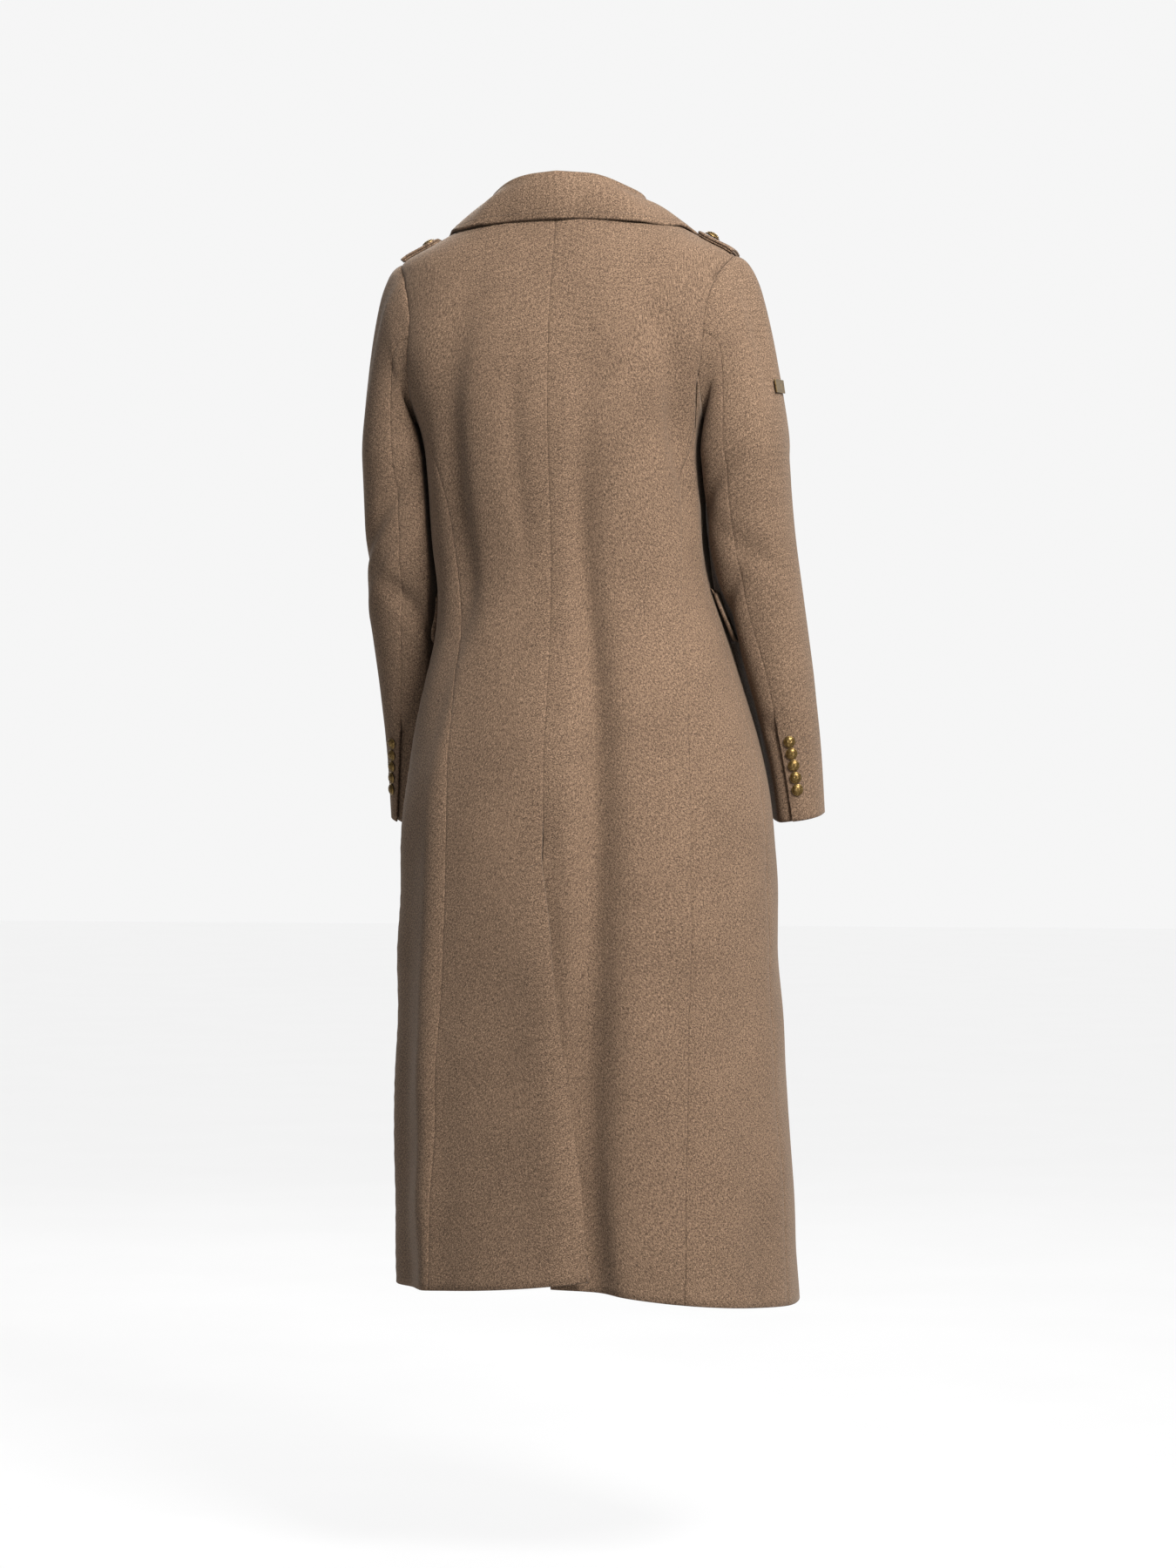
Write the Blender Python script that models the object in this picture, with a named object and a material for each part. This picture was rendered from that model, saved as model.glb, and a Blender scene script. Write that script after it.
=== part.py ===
"""Double-breasted wool overcoat, held in the hollow form it has when it is worn.

Metres, +Z up. The front faces -Y and the wearer's left is +X. The origin lies between the
shoulders at the height of the neck seam, where the shoulders carry the coat.

A place on the coat's body is an angle round it (0 at the centre of the back, growing toward
the wearer's left) and a height. A place on a sleeve is an angle round it (0 at the back, 90
degrees on the outer side) and a share of the way from the armhole to the cuff. Every piece
is a wall whose outer and inner points come from those two surfaces.
"""

from collections import namedtuple
from math import cos, pi, radians, sin, tau

import bmesh
import bpy
import numpy as np
from mathutils import Matrix, Vector

LEFT, RIGHT = 1, -1
SIDE_NAMES = {LEFT: "left", RIGHT: "right"}

# Cloth
WALL = 0.0026  # coat cloth with its lining
EDGE_WALL = 0.0038  # collar, lapels, flaps and straps: two layers with turned edges
SEAM_GAP = 0.0003
LAY_GAP = 0.0010  # between a piece and the panel that it lies on
TUCK = WALL + 0.0022  # how far an edge goes in where another laps over it
FRONT_TUCK = WALL + 0.0030

# Heights
NECK = 0.004
SHOULDER_TIP = -0.055
ARMPIT = -0.243
VENT_TOP = -0.730
VENT_CORNER = -0.746  # outer end of the slanted top of the vent's underlap
BREAK = -0.360  # where the lapels start to roll

# Sections through the body, from the neck to the hem
Section = namedtuple("Section", "z half_width back front roundness lean")
SECTIONS = (
    Section(0.020, 0.048, 0.064, 0.052, 2.10, 0.000),
    Section(0.004, 0.078, 0.070, 0.058, 2.10, 0.000),
    Section(-0.020, 0.123, 0.080, 0.072, 2.15, 0.000),
    Section(-0.040, 0.160, 0.089, 0.082, 2.20, 0.000),
    Section(-0.055, 0.188, 0.095, 0.088, 2.25, 0.000),
    Section(-0.080, 0.198, 0.104, 0.100, 2.35, 0.000),
    Section(-0.120, 0.203, 0.115, 0.115, 2.40, 0.001),
    Section(-0.160, 0.199, 0.122, 0.126, 2.40, 0.003),
    Section(-0.200, 0.181, 0.126, 0.134, 2.40, 0.005),
    Section(-0.243, 0.162, 0.127, 0.138, 2.40, 0.006),
    Section(-0.307, 0.1545, 0.120, 0.134, 2.35, 0.005),
    Section(-0.380, 0.153, 0.109, 0.124, 2.30, 0.000),
    Section(-0.430, 0.155, 0.106, 0.122, 2.25, -0.005),
    Section(-0.478, 0.165, 0.112, 0.126, 2.20, -0.011),
    Section(-0.527, 0.178, 0.124, 0.131, 2.20, -0.014),
    Section(-0.596, 0.195, 0.142, 0.138, 2.15, -0.018),
    Section(-0.680, 0.208, 0.155, 0.145, 2.15, -0.020),
    Section(-0.800, 0.2145, 0.163, 0.152, 2.15, -0.021),
    Section(-0.920, 0.219, 0.168, 0.160, 2.15, -0.022),
    Section(-1.040, 0.2225, 0.174, 0.168, 2.15, -0.025),
    Section(-1.230, 0.228, 0.182, 0.180, 2.15, -0.031),
)

# Folds in the body: the line of each at its middle height, its lean, and how far it goes in
# (a negative depth) or stands out
Fold = namedtuple("Fold", "angle top bottom slant half_angle depth")
FOLDS = (
    Fold(47, -0.060, -0.500, 4, 6, -0.0100),
    Fold(-62, -0.090, -0.370, 110, 5, -0.0095),
    Fold(-76, -0.200, -0.440, 60, 6, 0.0050),
    Fold(-20, -0.120, -1.500, -14, 6, -0.0095),
    Fold(15, -0.140, -0.420, 0, 5, -0.0040),
    Fold(52, -0.420, -1.700, 2, 5, 0.0085),
    Fold(68, -0.560, -1.700, 0, 8, -0.0095),
    Fold(-66, -0.640, -1.700, 3, 10, -0.0050),
    Fold(118, -0.480, -1.700, 3, 9, 0.0060),
    Fold(142, -0.560, -1.700, 2, 9, -0.0060),
    Fold(-112, -0.480, -1.700, -3, 9, 0.0060),
    Fold(-118, -0.290, -0.640, 0, 15, 0.0130),
    Fold(-138, -0.560, -1.700, -2, 10, -0.0055),
    Fold(-168, -0.620, -1.700, 0, 10, -0.0035),
)

# Seams of the side bodies: where the back one crosses the back, and the angle of the front one
BackSeam = namedtuple("BackSeam", "z left right")
BACK_SEAMS = (
    BackSeam(-0.250, 0.150, -0.149),
    BackSeam(-0.307, 0.134, -0.140),
    BackSeam(-0.400, 0.120, -0.137),
    BackSeam(-0.470, 0.115, -0.142),
    BackSeam(-0.530, 0.113, -0.149),
    BackSeam(-0.600, 0.112, -0.155),
    BackSeam(-0.800, 0.115, -0.160),
    BackSeam(-1.000, 0.121, -0.159),
    BackSeam(-1.230, 0.129, -0.157),
)
SideSeam = namedtuple("SideSeam", "z angle")
SIDE_SEAMS = (SideSeam(-0.243, 90), SideSeam(-0.400, 86), SideSeam(-0.600, 82), SideSeam(-1.230, 81))

# Centre vent: the left back laps over the right one, which goes on under it
Lap = namedtuple("Lap", "z x")
VENT_LAP = (
    Lap(-0.730, 0.000),
    Lap(-0.805, -0.011),
    Lap(-0.900, -0.020),
    Lap(-1.040, -0.036),
    Lap(-1.200, -0.060),
)
UNDERLAP = 0.045

# Hem heights by the angle from the centre back, on each side
Hem = namedtuple("Hem", "angle left right")
HEMS = (
    Hem(-20, -1.180, -1.188),
    Hem(0, -1.186, -1.192),
    Hem(15, -1.191, -1.197),
    Hem(40, -1.198, -1.208),
    Hem(75, -1.205, -1.219),
    Hem(90, -1.207, -1.222),
    Hem(135, -1.212, -1.220),
    Hem(180, -1.216, -1.216),
    Hem(215, -1.216, -1.216),
)

# Front: half of the overlap, and the line of the neck and the lapel's fold for the left front
FRONT_LAP = 0.085
BreakLine = namedtuple("BreakLine", "z x")
BREAK_LINE = (
    BreakLine(0.004, 0.0780),
    BreakLine(-0.008, 0.0772),
    BreakLine(-0.022, 0.0735),
    BreakLine(-0.050, 0.0650),
    BreakLine(-0.100, 0.0420),
    BreakLine(-0.360, -0.0850),
)

# Armhole: an egg in the side view, lying on the body's surface
ARMHOLE_BACK, ARMHOLE_FRONT = 0.078, 0.082
ARMHOLE_STEP = 15  # degrees between its points, shared by every piece that meets it
BACK_JUNCTION = -30  # armhole angle where the side body's back seam ends

# Sleeves: the arm's centre and the sleeve's half sizes from below the armpit to the cuff
Arm = namedtuple("Arm", "share out y z half_width half_depth turn")
ARMS = {
    LEFT: (
        Arm(0.22, 0.183, -0.014, -0.270, 0.057, 0.067, 8),
        Arm(0.40, 0.178, -0.030, -0.370, 0.062, 0.063, 9),
        Arm(0.55, 0.181, -0.050, -0.450, 0.059, 0.059, 12),
        Arm(0.70, 0.185, -0.072, -0.527, 0.050, 0.055, 16),
        Arm(0.85, 0.191, -0.093, -0.605, 0.040, 0.052, 20),
        Arm(1.00, 0.198, -0.110, -0.680, 0.032, 0.050, 24),
    ),
    RIGHT: (
        Arm(0.22, 0.193, -0.010, -0.270, 0.054, 0.067, -8),
        Arm(0.40, 0.201, -0.027, -0.370, 0.052, 0.063, -8),
        Arm(0.55, 0.2135, -0.042, -0.450, 0.048, 0.059, -7),
        Arm(0.70, 0.230, -0.052, -0.527, 0.040, 0.055, -5),
        Arm(0.85, 0.240, -0.066, -0.605, 0.036, 0.052, -2),
        Arm(1.00, 0.248, -0.076, -0.680, 0.031, 0.050, 0),
    ),
}
CAP = 0.22  # share of the sleeve above its first full ring
HEAD_ROLL = 0.007  # how far the sleeve head stands off the shoulder line
SLEEVE_ROUNDNESS = 2.4
SLEEVE_SKEW = {LEFT: 0.0, RIGHT: 0.66}  # how far the front of a sleeve swings in toward the body
ARM_CLEARANCE = 0.003
ARM_SOFTNESS = 0.010  # over how much the sleeve's side flattens where it nears the body
FRONT_SLEEVE_SEAM = 210  # degrees, on the inner front
CUFF_VENT = 0.80  # share of the way down where the cuff's vent starts
CUFF_UNDERLAP = 16  # degrees

SleeveFold = namedtuple("SleeveFold", "side angle share slant half_angle half_share depth")
SLEEVE_FOLDS = (
    SleeveFold(LEFT, 20, 0.33, 0.0022, 45, 0.028, -0.0080),
    SleeveFold(LEFT, 10, 0.43, 0.0024, 40, 0.032, 0.0050),
    SleeveFold(LEFT, -20, 0.52, -0.0015, 40, 0.028, -0.0060),
    SleeveFold(LEFT, 175, 0.40, 0.0020, 45, 0.032, -0.0050),
    SleeveFold(LEFT, 190, 0.55, -0.0015, 40, 0.032, -0.0040),
    SleeveFold(RIGHT, -25, 0.30, -0.0022, 34, 0.026, -0.0075),
    SleeveFold(RIGHT, -22, 0.50, -0.0020, 34, 0.028, -0.0075),
    SleeveFold(RIGHT, 20, 0.42, 0.0016, 40, 0.034, -0.0035),
    SleeveFold(RIGHT, 175, 0.38, 0.0020, 45, 0.032, -0.0050),
    SleeveFold(RIGHT, 185, 0.52, -0.0015, 40, 0.032, -0.0040),
)

# Collar, round the neck from the centre back: its roll's height over the seam, and the outer
# edge, on the body by angle and height
CollarStation = namedtuple("CollarStation", "way stand edge_angle edge_z bulge")
COLLAR = (
    CollarStation(0.00, 0.028, 0, -0.0200, 0.004),
    CollarStation(0.25, 0.025, 35, -0.0215, 0.005),
    CollarStation(0.50, 0.014, 66, -0.0260, 0.002),
    CollarStation(0.70, 0.009, 90, -0.0275, 0.002),
    CollarStation(0.86, 0.010, 112, -0.0450, 0.005),
    CollarStation(1.00, 0.009, 128, -0.0680, 0.003),
)
COLLAR_SIDE = 0.70  # way round at which the collar passes the side of the neck
COLLAR_END = -0.050  # height on the break line where it stops
COLLAR_ROLL = 0.0045

# Lapels in the front view, for the left one: the outer edge from the break up to the peak
LapelEdge = namedtuple("LapelEdge", "way x z")
LAPEL_EDGE = (
    LapelEdge(0.00, -0.074, -0.361),
    LapelEdge(0.20, -0.012, -0.318),
    LapelEdge(0.45, 0.062, -0.250),
    LapelEdge(0.75, 0.126, -0.148),
    LapelEdge(1.00, 0.146, -0.078),
)
GORGE = -0.058  # height where the lapel's top edge leaves the break line

# Hip pocket flaps
FLAP_TOP, FLAP_DEPTH = -0.432, 0.054
FLAP_START, FLAP_END = 90, 150  # degrees from the centre back
FLAP_CORNER = 0.016
FLAP_KICK = 0.003
FLAP_SEAT = 0.0022  # the waist is hollow there, so the flap lies a little off it
FLAP_OUT = FLAP_SEAT + FLAP_KICK + EDGE_WALL

# Shoulder straps
STRAP_INNER, STRAP_OUTER = 0.1470, 0.1865
STRAP_HALF_WIDTH = 0.022
STRAP_WALL = 0.0056

# Buttons: domed, on a low rim
CUFF_BUTTON, CUFF_PITCH, CUFF_COUNT = 0.0132, 0.0138, 5
STRAP_BUTTON = 0.0180
FRONT_BUTTON = 0.0240
BUTTON_SEAT = 0.0004
CUFF_BUTTON_TOP = 0.820  # share of the way down the sleeve
CUFF_BUTTON_ANGLE = 12  # degrees outward from the sleeve's back seam
FRONT_BUTTON_ROWS = (-0.385, -0.490, -0.595)
FRONT_BUTTON_SPREAD = 0.060

# Blank plate on the right upper sleeve
PLATE_WIDTH, PLATE_HEIGHT, PLATE_WALL = 0.030, 0.015, 0.0014
PLATE_ANGLE, PLATE_SHARE = 81, 0.155

# Rows and columns of the panels
LOWER_SHARES = tuple(np.linspace(0, 0.535, 12)) + tuple(np.linspace(0.5515, 1, 9))
BACK_NECK_COLUMNS, BACK_SHOULDER_COLUMNS = 4, 5
SIDE_COLUMNS = (BACK_JUNCTION + 90) // ARMHOLE_STEP
FRONT_COLUMNS = 11
SLEEVE_SHARES = (0, 0.006, 0.014, 0.03, 0.055, 0.085, 0.12, 0.165, 0.22, 0.28, 0.34, 0.40, 0.46, 0.53,
                 0.60, 0.68, 0.76, 0.80, 0.82, 0.88, 0.94, 1.0)

CLOTH = (0.165, 0.112, 0.072)
BRASS = (0.52, 0.36, 0.14)


def curve(rows, key, field):
    """A smooth curve through one named column of a table."""
    pairs = sorted((getattr(row, key), getattr(row, field)) for row in rows)
    places = np.array([place for place, _ in pairs])
    values = np.array([value for _, value in pairs])
    slopes = np.gradient(values, places)

    def at(place):
        place = np.asarray(place, float)
        i = np.clip(np.searchsorted(places, place) - 1, 0, len(places) - 2)
        step = places[i + 1] - places[i]
        u = np.clip((place - places[i]) / step, 0, 1)
        start = (1 + 2 * u) * (1 - u) ** 2 * values[i] + u * (1 - u) ** 2 * step * slopes[i]
        end = u * u * (3 - 2 * u) * values[i + 1] - u * u * (1 - u) * step * slopes[i + 1]
        return start + end

    return at


def ramp(value):
    """0 below 0, 1 above 1, smooth between."""
    value = np.clip(value, 0, 1)
    return value * value * (3 - 2 * value)


def unit(vectors):
    return vectors / np.linalg.norm(vectors, axis=-1, keepdims=True)


def stack(x, y, z):
    return np.stack(np.broadcast_arrays(x, y, z), axis=-1).astype(float)


half_width_at = curve(SECTIONS, "z", "half_width")
back_at = curve(SECTIONS, "z", "back")
front_at = curve(SECTIONS, "z", "front")
roundness_at = curve(SECTIONS, "z", "roundness")
lean_at = curve(SECTIONS, "z", "lean")
side_seam_at = curve(SIDE_SEAMS, "z", "angle")
vent_lap_at = curve(VENT_LAP, "z", "x")
break_line_at = curve(BREAK_LINE, "z", "x")
hem_at = {side: curve(HEMS, "angle", SIDE_NAMES[side]) for side in (LEFT, RIGHT)}


def fold_depth(angle, z):
    """How far the body's cloth stands out of its plain section."""
    depth = np.zeros(np.broadcast(angle, z).shape)
    degrees = np.degrees(angle)
    for fold in FOLDS:
        centre = fold.angle + fold.slant * (z - (fold.top + max(fold.bottom, -1.2)) / 2)
        off = (degrees - centre + 180) % 360 - 180
        along = np.clip((z - fold.bottom) / (fold.top - fold.bottom), 0, 1)
        depth = depth + fold.depth * np.sin(pi * along) * np.exp(-((off / fold.half_angle) ** 2))
    return depth


def radius(angle, z):
    """Distance from the body's axis to its cloth."""
    depth = np.where(np.cos(angle) >= 0, back_at(z), front_at(z))
    n = roundness_at(z)
    across = np.abs(np.sin(angle) / half_width_at(z)) ** n
    along = np.abs(np.cos(angle) / depth) ** n
    return (across + along) ** (-1 / n) + fold_depth(angle, z)


def body_surface(angle, z):
    r = radius(angle, z)
    return stack(lean_at(z) + r * np.sin(angle), r * np.cos(angle), z)


def body_normal(angle, z):
    step = 0.0006
    up = body_surface(angle, z + step) - body_surface(angle, z - step)
    around = body_surface(angle + step, z) - body_surface(angle - step, z)
    return unit(np.cross(up, around))


def body(angle, z, out=0.0):
    """A point on the body's cloth, moved out of it."""
    angle, z = np.asarray(angle, float), np.asarray(z, float)
    return body_surface(angle, z) + body_normal(angle, z) * np.asarray(out)[..., None]


def angle_of(x, z, half, side=None):
    """The angle of the body's point at x and z, on its back half or its front half."""
    x, z = np.asarray(x, float), np.asarray(z, float)
    off = x - lean_at(z)
    n = roundness_at(z)
    share = np.clip(np.abs(off) / half_width_at(z), 0, 0.99995)
    depth = back_at(z) if half > 0 else front_at(z)
    angle = np.arctan2(off, half * depth * (1 - share**n) ** (1 / n))
    if half < 0 and side is not None:
        angle = np.where(angle * side < 0, angle + side * tau, angle)
    return angle


def armhole(side, degrees):
    """Angle and height on the body of a point of the armhole."""
    turn = np.radians(degrees)
    reach = np.where(np.cos(turn) > 0, ARMHOLE_BACK, ARMHOLE_FRONT)
    y = reach * np.cos(turn)
    z = (SHOULDER_TIP + ARMPIT) / 2 + (SHOULDER_TIP - ARMPIT) / 2 * np.sin(turn)
    depth = np.where(y > 0, back_at(z), front_at(z))
    n = roundness_at(z)
    off = half_width_at(z) * (1 - (np.abs(y) / depth) ** n) ** (1 / n)
    return np.arctan2(side * off, y), z


def armhole_frame(side, degrees):
    """The armhole's point, and the direction in the cloth that leads off its edge."""
    point = body_surface(*armhole(side, degrees))
    step = 0.2
    along = body_surface(*armhole(side, degrees + step)) - body_surface(*armhole(side, degrees - step))
    normal = body_normal(*armhole(side, degrees))
    return point, side * unit(np.cross(normal, along))


def ring(side, degrees, share):
    """A point on a sleeve below the armpit, and the direction out from the sleeve's middle."""
    rows = ARMS[side]
    names = ("out", "y", "z", "half_width", "half_depth", "turn")
    out, y, z, half_width, half_depth, turn = (curve(rows, "share", name)(share) for name in names)
    ahead, behind = (
        stack(*(curve(rows, "share", name)(share + step) for name in ("out", "y", "z")))
        for step in (0.01, -0.01)
    )
    down = unit((ahead - behind) * np.array([side, 1, 1]))
    outward = np.array([side, 0, 0]) - down * (down[..., :1] * side)
    outward = unit(outward)
    backward = side * np.cross(outward, down)
    place = np.radians(degrees + turn)
    across, back = np.sin(place), np.cos(place)
    size = (np.abs(across / half_width) ** SLEEVE_ROUNDNESS + np.abs(back / half_depth) ** SLEEVE_ROUNDNESS)
    direction = outward * across[..., None] + backward * back[..., None]
    reach = size ** (-1 / SLEEVE_ROUNDNESS)
    swing = SLEEVE_SKEW[side] * ramp((share - CAP) / 0.15) * np.minimum(back * reach, 0)
    return stack(side * out, y, z) + direction * reach[..., None] + outward * swing[..., None], direction


def sleeve_fold(side, degrees, share):
    depth = np.zeros(np.broadcast(degrees, share).shape)
    for fold in SLEEVE_FOLDS:
        if fold.side != side:
            continue
        off = (degrees - fold.angle + 180) % 360 - 180
        line = (share - fold.share - fold.slant * off) / fold.half_share
        depth = depth + fold.depth * np.exp(-((off / fold.half_angle) ** 2) - line**2)
    return depth


def sleeve_surface(side, degrees, share):
    """A point on a sleeve, from the armhole (share 0) to the cuff (share 1)."""
    degrees, share = np.broadcast_arrays(np.asarray(degrees, float), np.asarray(share, float))
    point, direction = ring(side, degrees, np.maximum(share, CAP))
    start, lead = armhole_frame(side, degrees)
    end, _ = ring(side, degrees, np.full_like(share, CAP))
    below, _ = ring(side, degrees, np.full_like(share, CAP + 0.01))
    u = np.clip(share / CAP, 0, 1)[..., None]
    top = np.clip(np.sin(np.radians(degrees)), 0, 1)[..., None]
    span = np.linalg.norm(end - start, axis=-1, keepdims=True)
    leave = lead * (span * (0.62 - 0.05 * top) + 0.014 * (1 - top))
    arrive = unit(below - end) * span * (0.9 - 0.1 * top)
    cap = (1 + 2 * u) * (1 - u) ** 2 * start + u * (1 - u) ** 2 * leave
    cap = cap + u * u * (3 - 2 * u) * end - u * u * (1 - u) * arrive
    roll = HEAD_ROLL * (0.25 + 0.75 * top) * ramp((np.sin(np.radians(degrees))[..., None] + 0.6) / 1.2)
    lift = unit(direction + np.array([0, 0, 0.6]) * top)
    cap = cap + lift * roll * (1 - np.exp(-((u / 0.07) ** 1.5))) * (1 - u) ** 2
    point = np.where(share[..., None] < CAP, cap, point)
    point = point + direction * (sleeve_fold(side, degrees, share) * ramp(share / 0.1))[..., None]
    return clear_of_body(point, ramp(share / 0.06))


def clear_of_body(point, strength):
    """Pushes a sleeve's point out to where it just clears the body's cloth."""
    z = point[..., 2]
    off = point[..., 0] - lean_at(z)
    angle = np.arctan2(off, point[..., 1])
    reach = np.hypot(off, point[..., 1])
    over_flap = FLAP_OUT * np.exp(-(((z - FLAP_TOP + FLAP_DEPTH / 2) / 0.045) ** 2))
    over_flap = over_flap * ramp((np.abs(np.degrees(angle)) - FLAP_START + 16) / 14)
    least = radius(angle, z) + (ARM_CLEARANCE + over_flap) * strength
    over = reach - least
    soft = ARM_SOFTNESS * strength + 1e-9
    reach = least + (over + np.sqrt(over**2 + soft**2)) / 2
    return stack(lean_at(z) + reach * np.sin(angle), reach * np.cos(angle), z)


def sleeve_normal(side, degrees, share):
    step, turn = 0.002, 0.6
    low = np.maximum(share - step, 0)
    along = sleeve_surface(side, degrees, low + 2 * step) - sleeve_surface(side, degrees, low)
    around = sleeve_surface(side, degrees + turn, share) - sleeve_surface(side, degrees - turn, share)
    return side * unit(np.cross(around, along))


def sleeve(side, degrees, share, out=0.0):
    """A point on a sleeve's cloth, moved out of it."""
    degrees, share = np.broadcast_arrays(np.asarray(degrees, float), np.asarray(share, float))
    normal = sleeve_normal(side, degrees, share)
    return sleeve_surface(side, degrees, share) + normal * np.asarray(out)[..., None]


def material(name, colour, roughness, metallic=0.0):
    made = bpy.data.materials.new(name)
    made.use_nodes = True
    shader = made.node_tree.nodes["Principled BSDF"]
    shader.inputs["Base Color"].default_value = (*colour, 1)
    shader.inputs["Roughness"].default_value = roughness
    shader.inputs["Metallic"].default_value = metallic
    made.diffuse_color = (*colour, 1)
    return made


def add_object(name, mesh, look):
    made = bpy.data.objects.new(name, mesh)
    bpy.context.collection.objects.link(made)
    mesh.materials.append(look(name))
    mesh.shade_smooth()
    mesh.set_sharp_from_angle(angle=radians(50))
    return made


def cloth_look(name):
    return material(name + "_cloth", CLOTH, 0.9)


def brass_look(name):
    return material(name + "_brass", BRASS, 0.35, 1.0)


def wall(name, outer, inner, look=cloth_look):
    """A closed wall between two grids of points of the same shape.

    The edge is cut into triangles from its higher outer corner, so that two pieces that share
    a seam have the same edge face.
    """
    rows, columns = outer.shape[:2]
    shape = bmesh.new()
    faces = [[[shape.verts.new(p) for p in row] for row in grid] for grid in (outer, inner)]
    for grid in faces:
        for r in range(rows - 1):
            for c in range(columns - 1):
                shape.faces.new((grid[r][c], grid[r][c + 1], grid[r + 1][c + 1], grid[r + 1][c]))
    border = [(0, c) for c in range(columns - 1)] + [(r, columns - 1) for r in range(rows - 1)]
    border += [(rows - 1, c) for c in range(columns - 1, 0, -1)] + [(r, 0) for r in range(rows - 1, 0, -1)]
    for (r, c), (s, d) in zip(border, border[1:] + border[:1]):
        high, low = sorted(((r, c), (s, d)), key=lambda at: -outer[at][2])
        corner, inside = faces[0][high[0]][high[1]], faces[1][low[0]][low[1]]
        shape.faces.new((corner, faces[0][low[0]][low[1]], inside))
        shape.faces.new((corner, inside, faces[1][high[0]][high[1]]))
    bmesh.ops.recalc_face_normals(shape, faces=shape.faces)
    mesh = bpy.data.meshes.new(name)
    shape.to_mesh(mesh)
    shape.free()
    return add_object(name, mesh, look)


def body_wall(name, angle, z, out=0.0, thickness=WALL):
    out = np.broadcast_to(out, angle.shape)
    return wall(name, body(angle, z, out), body(angle, z, out - thickness))


def lerp(a, b, share):
    return a + (b - a) * share


def edge_centre_back(side):
    """The centre back seam, and below it the edge of the vent on that side."""

    def at(z):
        lap = np.where(z < VENT_TOP, vent_lap_at(z), 0)
        if side == RIGHT:
            lap = lap + UNDERLAP * np.clip((VENT_TOP - z) / (VENT_TOP - VENT_CORNER), 0, 1)
        return angle_of(lap, z, 1)

    return at


def edge_back_seam(side):
    """The seam between the back and the side body, from the armhole down."""
    angle, z = armhole(side, BACK_JUNCTION)
    top = BackSeam(float(z), *(float(body_surface(*armhole(s, BACK_JUNCTION))[0]) for s in (LEFT, RIGHT)))
    line = curve((top,) + BACK_SEAMS, "z", SIDE_NAMES[side])
    return lambda at: angle_of(line(at), at, 1)


def edge_side_seam(side):
    return lambda z: side * np.radians(side_seam_at(z))


def edge_front(side):
    return lambda z: angle_of(lean_at(z) - side * FRONT_LAP, z, -1, side)


def lower_panel(side, edges, tops, columns):
    """Angles and heights below the armhole's level, between two seams and down to the hem."""
    u = np.linspace(0, 1, columns + 1)[None, :]
    f = np.array(LOWER_SHARES)[:, None]
    sides = []
    for edge, top in zip(edges, tops):
        angle = edge(lerp(top, HEMS[3].left, f))
        z = lerp(top, hem_at[side](np.degrees(angle) * side), f)
        sides.append((edge(z), z))
    (angle_a, z_a), (angle_b, z_b) = sides
    angle = lerp(angle_a, angle_b, u)
    hem_a, hem_b = (hem_at[side](np.degrees(a) * side) for a in (angle_a, angle_b))
    z = lerp(z_a, z_b, u) + f * (hem_at[side](np.degrees(angle) * side) - lerp(hem_a, hem_b, u))
    return angle, z


def patch(bottom, top, start, end):
    """Angles and heights filled in between four edges, each a row of (angle, z)."""
    u = np.linspace(0, 1, len(bottom))[None, :, None]
    v = np.linspace(0, 1, len(start))[:, None, None]
    across = lerp(bottom[None], top[None], v)
    along = lerp(start[:, None], end[:, None], u)
    corners = lerp(lerp(bottom[0], bottom[-1], u), lerp(top[0], top[-1], u), v)
    filled = across + along - corners
    return filled[..., 0], filled[..., 1]


def inset(angle, z, columns):
    """Draws the panel's two side edges in by half of the seam gap."""
    angle = angle.copy()
    for c, towards in columns:
        step = SEAM_GAP / 2 / radius(angle[:, c], z[:, c])
        angle[:, c] += np.sign(angle[:, towards] - angle[:, c]) * step
    return angle


def stack_panel(upper, lower):
    """One grid from the top edge down to the hem."""
    return [np.concatenate((high[::-1], low[1:])) for high, low in zip(upper, lower)]


def shoulder_seam(side, share):
    """A point of the shoulder seam, from the neck (0) to the tip (1)."""
    z = lerp(NECK, SHOULDER_TIP, share)
    return np.stack((np.full_like(z, side * pi / 2), z), axis=-1)


def back_grid(side):
    junction_angle, junction_z = armhole(side, BACK_JUNCTION)
    columns = BACK_NECK_COLUMNS + BACK_SHOULDER_COLUMNS
    degrees = np.arange(BACK_JUNCTION, 90 + 1, ARMHOLE_STEP)
    centre_z = lerp(junction_z, NECK, np.linspace(0, 1, len(degrees)))
    start = np.stack((edge_centre_back(side)(centre_z), centre_z), axis=-1)
    end = np.stack(armhole(side, degrees), axis=-1)
    neck = np.linspace(0, side * pi / 2, BACK_NECK_COLUMNS + 1)[:-1]
    neck = np.stack((neck, np.full_like(neck, NECK)), axis=-1)
    top = np.concatenate((neck, shoulder_seam(side, np.linspace(0, 1, BACK_SHOULDER_COLUMNS + 1))))
    lower = lower_panel(side, (edge_centre_back(side), edge_back_seam(side)), (junction_z,) * 2, columns)
    bottom = np.stack((lower[0][0], lower[1][0]), axis=-1)
    start[0], end[0] = bottom[0], bottom[-1]
    angle, z = stack_panel(patch(bottom, top, start, end), lower)
    angle = inset(angle, z, ((0, 1), (-1, -2)))
    angle[0, BACK_NECK_COLUMNS:] -= side * SEAM_GAP / 2 / radius(angle[0, BACK_NECK_COLUMNS:], z[0, BACK_NECK_COLUMNS:])
    return angle, z


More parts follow.
